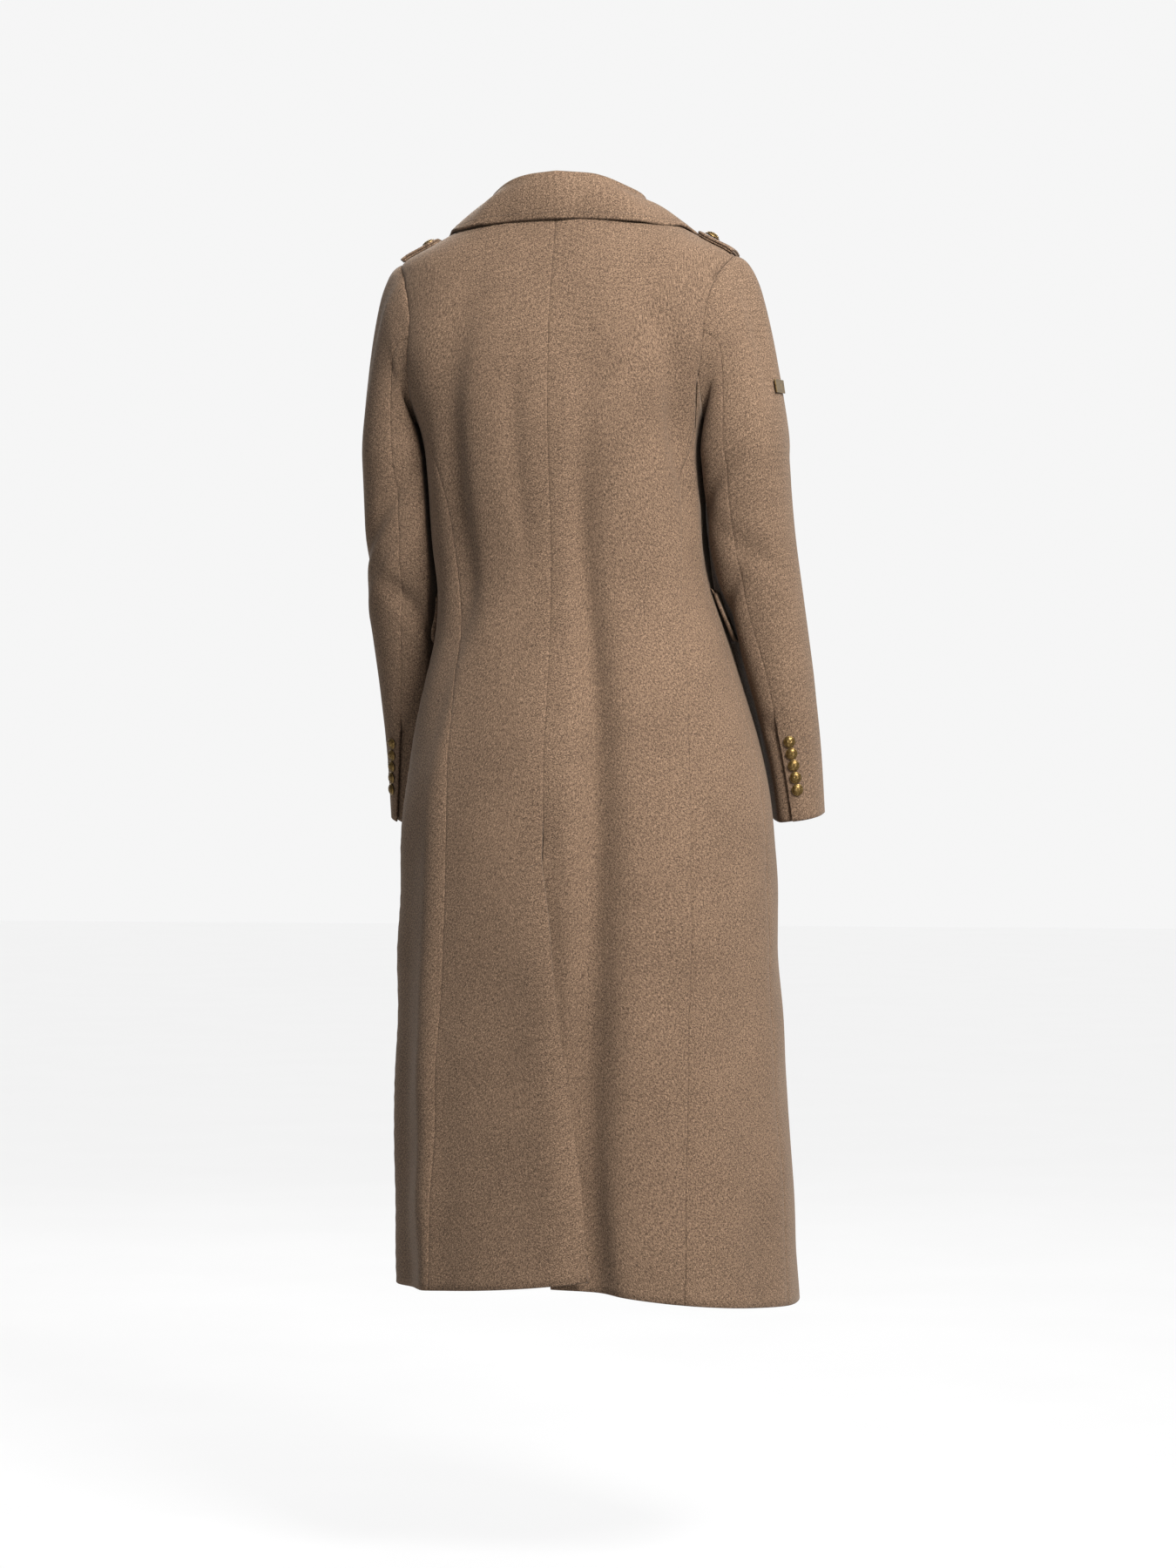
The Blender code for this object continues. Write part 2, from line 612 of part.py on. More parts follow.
def make_back(side):
    angle, z = back_grid(side)
    out = 0.0
    if side == RIGHT:
        x = body_surface(angle, z)[..., 0]
        lap = np.where(z < VENT_TOP, vent_lap_at(z), 0)
        out = -TUCK * ramp((VENT_TOP + 0.07 - z) / 0.06) * ramp((x - lap + 0.035) / 0.030)
    body_wall("back_" + SIDE_NAMES[side], angle, z, out)


def make_side_body(side):
    edges = (edge_back_seam(side), edge_side_seam(side))
    degrees = np.linspace(BACK_JUNCTION, -90, SIDE_COLUMNS + 1)
    arc_angle, arc_z = armhole(side, degrees)
    angle, z = lower_panel(side, edges, (arc_z[0], arc_z[-1]), SIDE_COLUMNS)
    fade = (1 - np.array(LOWER_SHARES)[:, None] / 0.25).clip(0, 1) ** 1.5
    angle = angle + (arc_angle - angle[0])[None] * fade
    z = z + (arc_z - z[0])[None] * fade
    angle = inset(angle, z, ((0, 1), (-1, -2)))
    body_wall("side_" + SIDE_NAMES[side], angle, z)


def front_grid(side):
    degrees = np.arange(-90, -270 - 1, -ARMHOLE_STEP)
    rows = len(degrees)
    lower = lower_panel(side, (edge_side_seam(side), edge_front(side)), (ARMPIT, BREAK), FRONT_COLUMNS)
    bottom = np.stack((lower[0][0], lower[1][0]), axis=-1)
    start_angle, start_z = armhole(side, degrees)
    start = np.stack((start_angle, start_z), axis=-1)
    way = np.linspace(0, 1, rows)
    end_z = lerp(BREAK, NECK, 1 - (1 - way) ** 1.6)
    end = np.stack((angle_of(side * break_line_at(end_z), end_z, -1, side), end_z), axis=-1)
    top = shoulder_seam(side, np.linspace(1, 0, FRONT_COLUMNS + 1))
    start[0], end[0] = bottom[0], bottom[-1]
    start[-1], end[-1] = top[0], top[-1]
    angle, z = stack_panel(patch(bottom, top, start, end), lower)
    angle = inset(angle, z, ((0, 1),))
    angle[0] += side * SEAM_GAP / 2 / radius(angle[0], z[0])
    return angle, z


def under_right_front(x, z):
    """1 where the right front covers the left one, fading out beyond its edge."""
    edge = np.where(z < BREAK, lean_at(z) + FRONT_LAP, -break_line_at(z))
    return ramp((edge + 0.042 - x) / 0.030)


def make_front(side):
    angle, z = front_grid(side)
    out = 0.0
    if side == LEFT:
        point = body_surface(angle, z)
        out = -FRONT_TUCK * under_right_front(point[..., 0], z) * ramp((-0.03 - z) / 0.06)
    body_wall("front_" + SIDE_NAMES[side], angle, z, out)


def make_lapel(side):
    """The turned-out edge of the front, from the break line to the lapel's outer edge."""
    first = 0.0
    if side == LEFT:
        first = 0.52  # below this the left lapel lies out of sight under the right front
    way = np.linspace(first, 1, 11 if side == RIGHT else 7)[:, None]
    across = np.linspace(0, 1, 6)[None, :]
    fold_z = lerp(BREAK, GORGE, way)
    fold_x = break_line_at(fold_z)
    edge_x = curve(LAPEL_EDGE, "way", "x")(way)
    edge_z = curve(LAPEL_EDGE, "way", "z")(way)
    x = lerp(fold_x, edge_x, across)
    z = lerp(fold_z, edge_z, across)
    if side == LEFT:
        # the lowest rows follow the right front's edge, a little above it
        cover = -break_line_at(z) + 0.006
        x = np.maximum(x, cover)
    angle = angle_of(side * x, z, -1, side)
    reach = np.abs(x - fold_x)
    roll = 0.0035 * np.exp(-((reach / 0.016) ** 2))
    low = LAY_GAP + roll
    outer = body(angle, z, low + EDGE_WALL)
    inner = body(angle, z, low)
    wall("lapel_" + SIDE_NAMES[side], outer, inner)


def neck_line(way):
    """Angle and height of the neck seam, from the centre back (0) to the collar's end (1)."""
    forward = np.clip((way - COLLAR_SIDE) / (1 - COLLAR_SIDE), 0, 1)
    z = lerp(NECK, COLLAR_END, forward)
    round_neck = np.clip(way / COLLAR_SIDE, 0, 1) * pi / 2
    down_front = angle_of(break_line_at(z), z, -1, LEFT)
    return np.where(way <= COLLAR_SIDE, round_neck, down_front), z


def collar_section(way, side):
    """Middle line of the collar's cloth in one section, from the neck seam to its edge."""
    angle, z = neck_line(np.array(abs(way)))
    seam = body_surface(angle, z)
    normal = body_normal(angle, z)
    near_angle, near_z = neck_line(np.array([abs(way) - 0.004, abs(way) + 0.004]).clip(0, 1))
    along = unit(np.diff(body_surface(near_angle, near_z), axis=0)[0])
    off_edge = unit(np.cross(along, normal))
    forward = float(ramp((abs(way) - COLLAR_SIDE + 0.06) / 0.08))
    up = unit(lerp(np.array([0, 0, 1.0]), normal, 0.8 * forward))
    base = seam + up * 0.0006 + off_edge * (WALL / 2 + 0.0008) * forward
    stand = float(curve(COLLAR, "way", "stand")(abs(way)))
    edge_angle = radians(float(curve(COLLAR, "way", "edge_angle")(abs(way))))
    edge_z = float(curve(COLLAR, "way", "edge_z")(abs(way)))
    bulge = float(curve(COLLAR, "way", "bulge")(abs(way)))
    edge = body(np.array(edge_angle), np.array(edge_z), LAY_GAP + EDGE_WALL / 2)
    towards = edge - base
    over = unit(towards - up * np.dot(towards, up))
    top = base + up * max(stand, COLLAR_ROLL + 0.003) + over * COLLAR_ROLL
    points = [base, lerp(base, top - up * COLLAR_ROLL - over * COLLAR_ROLL, 0.5)]
    for turn in (180, 135, 90, 45, 0):
        swing = over * cos(radians(turn)) + up * sin(radians(turn))
        points.append(top - up * COLLAR_ROLL + swing * COLLAR_ROLL)
    start = points[-1]
    fall_normal = unit(np.cross(np.cross(edge - start, up), edge - start) * -1)
    for share in (0.3, 0.55, 0.8, 1.0):
        points.append(lerp(start, edge, share) + fall_normal * -bulge * 4 * share * (1 - share))
    points = np.array(points)
    across = unit(np.cross(up, over))
    tangent = unit(np.gradient(points, axis=0))
    out = unit(np.cross(tangent, across))
    if np.dot(out[5], over) < 0:
        out = -out
    return points * np.array([side, 1, 1]), out * np.array([side, 1, 1])


def make_collar():
    ways = np.linspace(-1, 1, 41)
    middle, out = zip(*(collar_section(way, LEFT if way >= 0 else RIGHT) for way in ways))
    middle, out = np.array(middle), np.array(out)
    half = np.array([WALL, WALL, WALL] + [lerp(WALL, EDGE_WALL, s) for s in (0.1, 0.3, 0.5, 0.7, 0.9, 1, 1, 1)]) / 2
    wall("collar", middle + out * half[None, :, None], middle - out * half[None, :, None])


def make_flap(side):
    u = np.linspace(0, 1, 9)[None, :]
    v = np.linspace(0, 1, 5)[:, None]
    length = radians(FLAP_END - FLAP_START) * 0.145
    near_end = np.minimum(u, 1 - u) * length
    rounding = FLAP_CORNER - np.sqrt(np.maximum(FLAP_CORNER**2 - np.maximum(FLAP_CORNER - near_end, 0) ** 2, 0))
    z = FLAP_TOP - v * (FLAP_DEPTH - rounding)
    angle = side * np.radians(lerp(FLAP_START, FLAP_END, u)) + 0 * z
    out = FLAP_SEAT + FLAP_KICK * v**2 + EDGE_WALL
    body_wall("flap_" + SIDE_NAMES[side], angle, z, out, EDGE_WALL)


def roof(x, y):
    """Height of the shoulder's cloth at x and y."""
    low, high = np.full(np.broadcast(x, y).shape, -0.12), np.full(np.broadcast(x, y).shape, 0.01)
    for _ in range(40):
        middle = (low + high) / 2
        angle = np.arctan2(x - lean_at(middle), y)
        inside = np.hypot(x - lean_at(middle), y) < radius(angle, middle)
        low, high = np.where(inside, middle, low), np.where(inside, high, middle)
    return (low + high) / 2


def on_shoulder(side, x, y, out):
    z = roof(side * x, y)
    return body(np.arctan2(side * x - lean_at(z), y), z, out)


def make_strap(side):
    """The shoulder strap, sewn in at the sleeve head, its free end toward the collar."""
    u = np.linspace(0, 1, 5)[:, None]
    v = np.linspace(-1, 1, 5)[None, :]
    half = STRAP_HALF_WIDTH * lerp(0.9, 1.0, u)
    x = lerp(STRAP_INNER, STRAP_OUTER, u) + 0 * v
    y = v * half
    low = LAY_GAP * 0.6
    name = "strap_" + SIDE_NAMES[side]
    wall(name, on_shoulder(side, x, y, low + STRAP_WALL), on_shoulder(side, x, y, low))


def button(name, diameter, point, normal, segments):
    """A domed button: its profile spun round its axis, set on the cloth."""
    r = diameter / 2
    profile = ((0, 0), (0.96, 0), (1.0, 0.12), (0.96, 0.24), (0.72, 0.46), (0.38, 0.58), (0, 0.62))
    shape = bmesh.new()
    verts = [shape.verts.new((share * r, 0, height * r)) for share, height in profile]
    edges = [shape.edges.new(pair) for pair in zip(verts, verts[1:])]
    bmesh.ops.spin(shape, geom=verts + edges, axis=(0, 0, 1), cent=(0, 0, 0), steps=segments, angle=tau)
    bmesh.ops.remove_doubles(shape, verts=shape.verts, dist=1e-5)
    bmesh.ops.recalc_face_normals(shape, faces=shape.faces)
    mesh = bpy.data.meshes.new(name)
    shape.to_mesh(mesh)
    shape.free()
    made = add_object(name, mesh, brass_look)
    normal = Vector(normal)
    turn = normal.to_track_quat("Z", "Y").to_matrix().to_4x4()
    made.matrix_world = Matrix.Translation(Vector(point) + normal * BUTTON_SEAT) @ turn
    return made


def make_cuff_buttons(side):
    length = np.linalg.norm(sleeve(side, 0, 0.95) - sleeve(side, 0, 0.85)) / 0.10
    for i in range(CUFF_COUNT):
        share = CUFF_BUTTON_TOP + i * CUFF_PITCH / length
        point = sleeve(side, CUFF_BUTTON_ANGLE, share)
        normal = sleeve_normal(side, np.asarray(CUFF_BUTTON_ANGLE), np.asarray(share))
        button(f"cuff_button_{SIDE_NAMES[side]}_{i + 1}", CUFF_BUTTON, point, normal, 10)


def make_front_buttons():
    for i, z in enumerate(FRONT_BUTTON_ROWS):
        for j, x in enumerate((-FRONT_BUTTON_SPREAD, FRONT_BUTTON_SPREAD)):
            angle = angle_of(lean_at(z) + x, z, -1, RIGHT)
            name = f"front_button_{2 * i + j + 1}"
            out = 0.0006 if i == 0 else 0
            button(name, FRONT_BUTTON, body(angle, z, out), body_normal(angle, np.asarray(z)), 16)


def make_strap_button(side):
    x, y = STRAP_INNER + 0.012, 0.0
    out = LAY_GAP * 0.6 + STRAP_WALL
    z = roof(side * x, y)
    angle = np.arctan2(side * x - lean_at(z), y)
    button("strap_button_" + SIDE_NAMES[side], STRAP_BUTTON, body(angle, z, out), body_normal(angle, z), 14)


def make_sleeve(side):
    """Two pieces, top and under, with seams at the back and at the inner front."""
    share = np.array(SLEEVE_SHARES)[:, None]
    gap = np.degrees(SEAM_GAP / 2 / 0.055)
    start = SEAM_GAP * (share == 0)
    top = np.arange(0, FRONT_SLEEVE_SEAM + 1, ARMHOLE_STEP)[None, :].astype(float)
    top[0, 0] += gap
    top[0, -1] -= gap
    under = np.arange(FRONT_SLEEVE_SEAM - 360, 1, ARMHOLE_STEP)[None, :].astype(float)
    under[0, 0] += gap
    under[0, -1] -= gap
    for kind, degrees in (("top", top), ("under", under)):
        degrees = degrees + 0 * share
        out = np.zeros_like(degrees)
        if kind == "under":
            vent = ramp((share - CUFF_VENT + 0.06) / 0.06)
            lap = np.clip((share - CUFF_VENT) / 0.02, 0, 1)
            out = -TUCK * vent * ramp((degrees + 30) / 22)
            degrees[:, -1:] += (CUFF_UNDERLAP + gap) * lap
        outer, inner = sleeve(side, degrees, share, out), sleeve(side, degrees, share, out - WALL)
        _, lead = armhole_frame(side, degrees)
        for grid in (outer, inner):
            grid += lead * start[..., None]
        wall(f"sleeve_{kind}_{SIDE_NAMES[side]}", outer, inner)


def make_plate():
    """A small blank plate on the right sleeve's outer side."""
    point = sleeve(RIGHT, PLATE_ANGLE, PLATE_SHARE)
    normal = sleeve_normal(RIGHT, np.asarray(PLATE_ANGLE), np.asarray(PLATE_SHARE))
    down = unit(sleeve(RIGHT, PLATE_ANGLE, PLATE_SHARE + 0.02) - sleeve(RIGHT, PLATE_ANGLE, PLATE_SHARE - 0.02))
    across = unit(np.cross(normal, down))
    bpy.ops.mesh.primitive_cube_add(size=1)
    plate = bpy.context.object
    plate.name = "sleeve_plate"
    plate.data.transform(Matrix.Diagonal((PLATE_WIDTH, PLATE_HEIGHT, PLATE_WALL, 1)))
    turn = Matrix((across, down, np.cross(across, down))).transposed().to_4x4()
    seat = point + normal * (PLATE_WALL / 2 + BUTTON_SEAT)
    plate.matrix_world = Matrix.Translation(Vector(seat)) @ turn
    plate.data.materials.append(brass_look("sleeve_plate"))


for old in list(bpy.data.objects):
    bpy.data.objects.remove(old)

make_collar()
make_front_buttons()
make_plate()
for side in (LEFT, RIGHT):
    make_back(side)
    make_side_body(side)
    make_front(side)
    make_lapel(side)
    make_flap(side)
    make_sleeve(side)
    make_strap(side)
    make_strap_button(side)
    make_cuff_buttons(side)
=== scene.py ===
from collections import namedtuple
from math import cos, pi, radians, sin, tau

import bmesh
import bpy
import numpy as np
from mathutils import Matrix, Vector


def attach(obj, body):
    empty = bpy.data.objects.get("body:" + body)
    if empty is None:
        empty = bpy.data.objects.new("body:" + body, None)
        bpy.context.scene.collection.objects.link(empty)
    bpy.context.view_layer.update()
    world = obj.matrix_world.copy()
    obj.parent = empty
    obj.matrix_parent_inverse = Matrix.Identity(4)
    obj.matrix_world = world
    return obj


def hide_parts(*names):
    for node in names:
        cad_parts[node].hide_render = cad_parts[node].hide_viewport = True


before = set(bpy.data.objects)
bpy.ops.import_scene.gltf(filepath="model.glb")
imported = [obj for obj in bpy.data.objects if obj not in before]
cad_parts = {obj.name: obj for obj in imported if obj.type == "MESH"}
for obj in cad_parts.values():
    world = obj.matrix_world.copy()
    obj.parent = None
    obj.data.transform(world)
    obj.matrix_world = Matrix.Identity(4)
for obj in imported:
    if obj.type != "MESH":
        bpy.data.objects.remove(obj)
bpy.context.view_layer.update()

# The wool: a brown melange twill, light and dark fibres spun together, woven on the diagonal
# and brushed to a soft nap. One finish serves every panel.
FIBRE_DARK = (0.028, 0.017, 0.010)
FIBRE_MIDDLE = (0.084, 0.052, 0.032)
FIBRE_LIGHT = (0.190, 0.123, 0.079)
NAP_COLOUR = (0.75, 0.62, 0.50, 1)
TWILL_ANGLE = -58
FIBRES_PER_METRE = (880, 500, 1)  # across and along the twill
TUFTS_PER_METRE = 740
PATCHES_PER_METRE = 16
BAND_PITCH = 0.0069  # soft diagonal bands in the weave
WAVES_PER_UNIT = 20 / tau  # of a wave texture at scale 1


class Field:
    """A value that varies over a finish; arithmetic on it adds the Math nodes."""

    def __init__(self, finish, socket):
        self.finish, self.socket = finish, socket

    def combine(self, operation, first, second):
        made = self.finish.node("ShaderNodeMath", {"operation": operation}, {0: first, 1: second})
        return made[0]

    def __add__(self, other):
        return self.combine("ADD", self, other)

    def __sub__(self, other):
        return self.combine("SUBTRACT", self, other)

    def __mul__(self, other):
        return self.combine("MULTIPLY", self, other)

    def __rsub__(self, other):
        return self.combine("SUBTRACT", other, self)

    __radd__, __rmul__ = __add__, __mul__


class Finish:
    """A material, and one way to add any node to it."""

    def __init__(self, name, **constants):
        self.material = bpy.data.materials.new(name)
        self.material.use_nodes = True
        self.tree = self.material.node_tree
        self.shader = self.tree.nodes["Principled BSDF"]
        for key, value in constants.items():
            self.shader.inputs[key.replace("_", " ")].default_value = value

    def node(self, kind, settings=None, sockets=None):
        made = self.tree.nodes.new(kind)
        for key, value in (settings or {}).items():
            if key == "stops":
                made.color_ramp.elements.remove(made.color_ramp.elements[1])
                for i, (place, colour) in enumerate(value):
                    stops = made.color_ramp.elements
                    stop = stops[0] if i == 0 else stops.new(place)
                    stop.position, stop.color = place, (*colour, 1)
            else:
                setattr(made, key, value)
        for key, value in (sockets or {}).items():
            self.feed(made.inputs[key], value)
        return [Field(self, socket) for socket in made.outputs]

    def feed(self, socket, value):
        if isinstance(value, Field):
            self.tree.links.new(value.socket, socket)
        else:
            socket.default_value = value

    def set(self, **fields):
        for key, value in fields.items():
            self.feed(self.shader.inputs[key.replace("_", " ")], value)


wool = Finish("wool", Roughness=0.92, Sheen_Weight=0.10, Sheen_Roughness=0.45, Sheen_Tint=NAP_COLOUR,
              Specular_IOR_Level=0.2)
place = wool.node("ShaderNodeTexCoord")
turned = {"Vector": place[2], "Rotation": (0, 0, radians(TWILL_ANGLE))}  # the UV map is in metres
grain = wool.node("ShaderNodeMapping", {}, turned)[0]
stretch = wool.node("ShaderNodeMapping", {}, {"Vector": grain, "Scale": FIBRES_PER_METRE})[0]
fibres, tufts, patches = (
    wool.node("ShaderNodeTexNoise", {},
              {"Vector": where, "Scale": scale, "Detail": detail, "Roughness": rough})[0]
    for where, scale, detail, rough in (
        (stretch, 1, 3, 0.65),
        (place[3], TUFTS_PER_METRE, 2, 0.60),
        (place[3], PATCHES_PER_METRE, 3, 0.55),
    )
)
waves = {"Vector": grain, "Scale": 1 / BAND_PITCH / WAVES_PER_UNIT, "Distortion": 0.6, "Detail": 1}
bands = wool.node("ShaderNodeTexWave", {"wave_profile": "SIN"}, waves)[1]
tone = fibres * 0.55 + tufts * 0.45 + (patches - 0.5) * 0.05 + (bands - 0.5) * 0.02
melange = {"stops": [(0.38, FIBRE_DARK), (0.49, FIBRE_MIDDLE), (0.61, FIBRE_LIGHT)]}
relief = {"Height": bands * 0.1 + fibres * 0.9 + tufts * 0.9, "Strength": 0.45, "Distance": 0.0005}
wool.set(Base_Color=wool.node("ShaderNodeValToRGB", melange, {0: tone})[0],
         Normal=wool.node("ShaderNodeBump", {}, relief)[0])

# The coat's body: back, side bodies and fronts hang from the shoulders in soft folds. Its form
# is a smooth section at each height, with the folds laid on it; every panel is cut from it.
LEFT, RIGHT = 1, -1
SIDE_NAMES = {LEFT: "left", RIGHT: "right"}

WALL = 0.0026  # coat cloth with its lining
EDGE_WALL = 0.0038  # collar, lapels, flaps and straps: two layers with turned edges
SEAM_GAP = 0.0001
LAY_GAP = 0.0010  # between a piece and the panel that it lies on
TUCK = WALL + 0.0022  # how far an edge goes in where another laps over it
FRONT_TUCK = WALL + 0.0030

NECK = 0.004  # heights
SHOULDER_TIP = -0.055
ARMPIT = -0.243
VENT_TOP = -0.730
VENT_CORNER = -0.746  # outer end of the slanted top of the vent's underlap
BREAK = -0.360  # where the lapels start to roll
LOWEST = -1.200

# Sections through the body, from the neck to the hem
Section = namedtuple("Section", "z half_width back front roundness lean")
SECTIONS = (
    Section(0.020, 0.048, 0.064, 0.052, 2.10, 0.000),
    Section(0.004, 0.078, 0.070, 0.058, 2.10, 0.000),
    Section(-0.020, 0.123, 0.080, 0.072, 2.15, 0.000),
    Section(-0.040, 0.160, 0.089, 0.082, 2.20, 0.000),
    Section(-0.055, 0.188, 0.095, 0.088, 2.25, 0.000),
    Section(-0.080, 0.198, 0.104, 0.100, 2.35, 0.000),
    Section(-0.120, 0.203, 0.115, 0.115, 2.40, 0.001),
    Section(-0.160, 0.199, 0.122, 0.126, 2.40, 0.003),
    Section(-0.200, 0.181, 0.126, 0.134, 2.40, 0.005),
    Section(-0.243, 0.162, 0.127, 0.138, 2.40, 0.006),
    Section(-0.307, 0.1545, 0.120, 0.134, 2.35, 0.005),
    Section(-0.380, 0.153, 0.109, 0.124, 2.30, 0.000),
    Section(-0.430, 0.155, 0.106, 0.122, 2.25, -0.005),
    Section(-0.478, 0.165, 0.112, 0.126, 2.20, -0.011),
    Section(-0.527, 0.178, 0.124, 0.131, 2.20, -0.014),
    Section(-0.596, 0.195, 0.142, 0.138, 2.15, -0.018),
    Section(-0.680, 0.208, 0.155, 0.145, 2.15, -0.020),
    Section(-0.800, 0.2145, 0.163, 0.152, 2.15, -0.021),
    Section(-0.920, 0.219, 0.168, 0.160, 2.15, -0.022),
    Section(-1.040, 0.2225, 0.174, 0.168, 2.15, -0.025),
    Section(-1.230, 0.228, 0.182, 0.180, 2.15, -0.031),
)

# Folds in the body: the line of each at its middle height, its lean, and how far it goes in
# (a negative depth) or stands out
Fold = namedtuple("Fold", "angle top bottom slant half_angle depth")
FOLDS = (
    Fold(50, -0.020, -0.600, -36, 8, -0.0110),
    Fold(-62, -0.090, -0.370, 110, 6, -0.0120),
    Fold(-76, -0.200, -0.440, 60, 6, 0.0050),
    Fold(-15.5, -0.120, -1.500, -14, 8, -0.0210),
    Fold(15, -0.140, -0.420, 0, 5, -0.0040),
    Fold(52, -0.420, -1.700, 2, 5, 0.0085),
    Fold(68, -0.560, -1.700, 0, 8, -0.0095),
    Fold(-66, -0.640, -1.700, 3, 10, -0.0050),
    Fold(118, -0.480, -1.700, 3, 9, 0.0060),
    Fold(142, -0.560, -1.700, 2, 9, -0.0060),
    Fold(-112, -0.480, -1.700, -3, 9, 0.0060),
    Fold(-118, -0.290, -0.640, 0, 15, 0.0130),
    Fold(-138, -0.560, -1.700, -2, 10, -0.0055),
    Fold(-168, -0.620, -1.700, 0, 10, -0.0035),
)

# Seams of the side bodies: where the back one crosses the back, and the angle of the front one
BackSeam = namedtuple("BackSeam", "z left right")
BACK_SEAMS = (
    BackSeam(-0.250, 0.150, -0.149),
    BackSeam(-0.307, 0.134, -0.140),
    BackSeam(-0.400, 0.120, -0.137),
    BackSeam(-0.470, 0.115, -0.142),
    BackSeam(-0.530, 0.113, -0.149),
    BackSeam(-0.600, 0.112, -0.155),
    BackSeam(-0.800, 0.115, -0.160),
    BackSeam(-1.000, 0.121, -0.159),
    BackSeam(-1.230, 0.129, -0.157),
)
SideSeam = namedtuple("SideSeam", "z angle")
SIDE_SEAMS = (SideSeam(-0.243, 90), SideSeam(-0.400, 86), SideSeam(-0.600, 82), SideSeam(-1.230, 81))

# Centre vent: the left back laps over the right one, which goes on under it
Lap = namedtuple("Lap", "z x")
VENT_LAP = (
    Lap(-0.730, 0.000),
    Lap(-0.805, -0.011),
    Lap(-0.900, -0.020),
    Lap(-1.040, -0.036),
    Lap(-1.200, -0.060),
)
UNDERLAP = 0.045

# Hem heights by the angle from the centre back, on each side
Hem = namedtuple("Hem", "angle left right")
HEMS = (
    Hem(-20, -1.180, -1.188),
    Hem(0, -1.186, -1.192),
    Hem(15, -1.191, -1.197),
    Hem(40, -1.198, -1.208),
    Hem(75, -1.205, -1.219),
    Hem(90, -1.207, -1.222),
    Hem(135, -1.212, -1.220),
    Hem(180, -1.216, -1.216),
    Hem(215, -1.216, -1.216),
)

# Front: half of the overlap, and the line of the neck and the lapel's fold for the left front
FRONT_LAP = 0.085
BreakLine = namedtuple("BreakLine", "z x")
BREAK_LINE = (
    BreakLine(0.004, 0.0780),
    BreakLine(-0.008, 0.0772),
    BreakLine(-0.022, 0.0735),
    BreakLine(-0.050, 0.0650),
    BreakLine(-0.100, 0.0420),
    BreakLine(-0.360, -0.0850),
)

# Armhole: an egg in the side view, lying on the body's surface
ARMHOLE_BACK, ARMHOLE_FRONT = 0.078, 0.082
ARMHOLE_STEP = 5  # degrees between its points, shared by every piece that meets it
BACK_JUNCTION = -30  # armhole angle where the side body's back seam ends

LOWER_SHARES = np.linspace(0, 1, 121)[:, None]
BACK_NECK_COLUMNS, BACK_SHOULDER_COLUMNS = 10, 14
SIDE_COLUMNS = (BACK_JUNCTION + 90) // ARMHOLE_STEP
FRONT_COLUMNS = 30


def hermite(u, first, last, leave, arrive):
    """A smooth way from first to last, setting off along leave and coming in along arrive."""
    start = (1 + 2 * u) * (1 - u) ** 2 * first + u * (1 - u) ** 2 * leave
    return start + u * u * (3 - 2 * u) * last - u * u * (1 - u) * arrive


def curve(rows, key, field):
    """A smooth curve through one named column of a table."""
    pairs = sorted((getattr(row, key), getattr(row, field)) for row in rows)
    places = np.array([place for place, _ in pairs])
    values = np.array([value for _, value in pairs])
    slopes = np.gradient(values, places)

    def at(place):
        place = np.asarray(place, float)
        i = np.clip(np.searchsorted(places, place) - 1, 0, len(places) - 2)
        step = places[i + 1] - places[i]
        u = np.clip((place - places[i]) / step, 0, 1)
        return hermite(u, values[i], values[i + 1], step * slopes[i], step * slopes[i + 1])

    return at


def ramp(value):
    """0 below 0, 1 above 1, smooth between."""
    value = np.clip(value, 0, 1)
    return value * value * (3 - 2 * value)


def bell(off, width):
    """1 in the middle, falling smoothly to nothing a little past the width."""
    return np.exp(-((off / width) ** 2))


def unit(vectors):
    return vectors / np.linalg.norm(vectors, axis=-1, keepdims=True)


def stack(x, y, z):
    return np.stack(np.broadcast_arrays(x, y, z), axis=-1).astype(float)


half_width_at = curve(SECTIONS, "z", "half_width")
back_at = curve(SECTIONS, "z", "back")
front_at = curve(SECTIONS, "z", "front")
roundness_at = curve(SECTIONS, "z", "roundness")
lean_at = curve(SECTIONS, "z", "lean")
side_seam_at = curve(SIDE_SEAMS, "z", "angle")
vent_lap_at = curve(VENT_LAP, "z", "x")
break_line_at = curve(BREAK_LINE, "z", "x")
hem_at = {side: curve(HEMS, "angle", SIDE_NAMES[side]) for side in (LEFT, RIGHT)}

# The cloth's slow unevenness: waves round the body, radians to the metre down it, their start
# and their height
RIPPLES = ((3, 41, 0.4, 0.0007), (5, -29, 2.1, 0.0006), (2, 17, 4.0, 0.0010), (9, 53, 1.2, 0.0004))


def fold_depth(angle, z):
    """How far the body's cloth stands out of its plain section."""
    depth = np.zeros(np.broadcast(angle, z).shape)
    degrees = np.degrees(angle)
    for fold in FOLDS:
        centre = fold.angle + fold.slant * (z - (fold.top + max(fold.bottom, LOWEST)) / 2)
        off = (degrees - centre + 180) % 360 - 180
        along = np.clip((z - fold.bottom) / (fold.top - fold.bottom), 0, 1)
        depth = depth + fold.depth * np.sin(pi * along) * bell(off, fold.half_angle)
    for turns, per_metre, offset, height in RIPPLES:
        depth = depth + height * np.sin(turns * angle + per_metre * z + offset)
    return depth


def radius(angle, z):
    """Distance from the body's axis to its cloth."""
    depth = np.where(np.cos(angle) >= 0, back_at(z), front_at(z))
    n = roundness_at(z)
    across = np.abs(np.sin(angle) / half_width_at(z)) ** n
    along = np.abs(np.cos(angle) / depth) ** n
    return (across + along) ** (-1 / n) + fold_depth(angle, z)


def body_surface(angle, z):
    r = radius(angle, z)
    return stack(lean_at(z) + r * np.sin(angle), r * np.cos(angle), z)


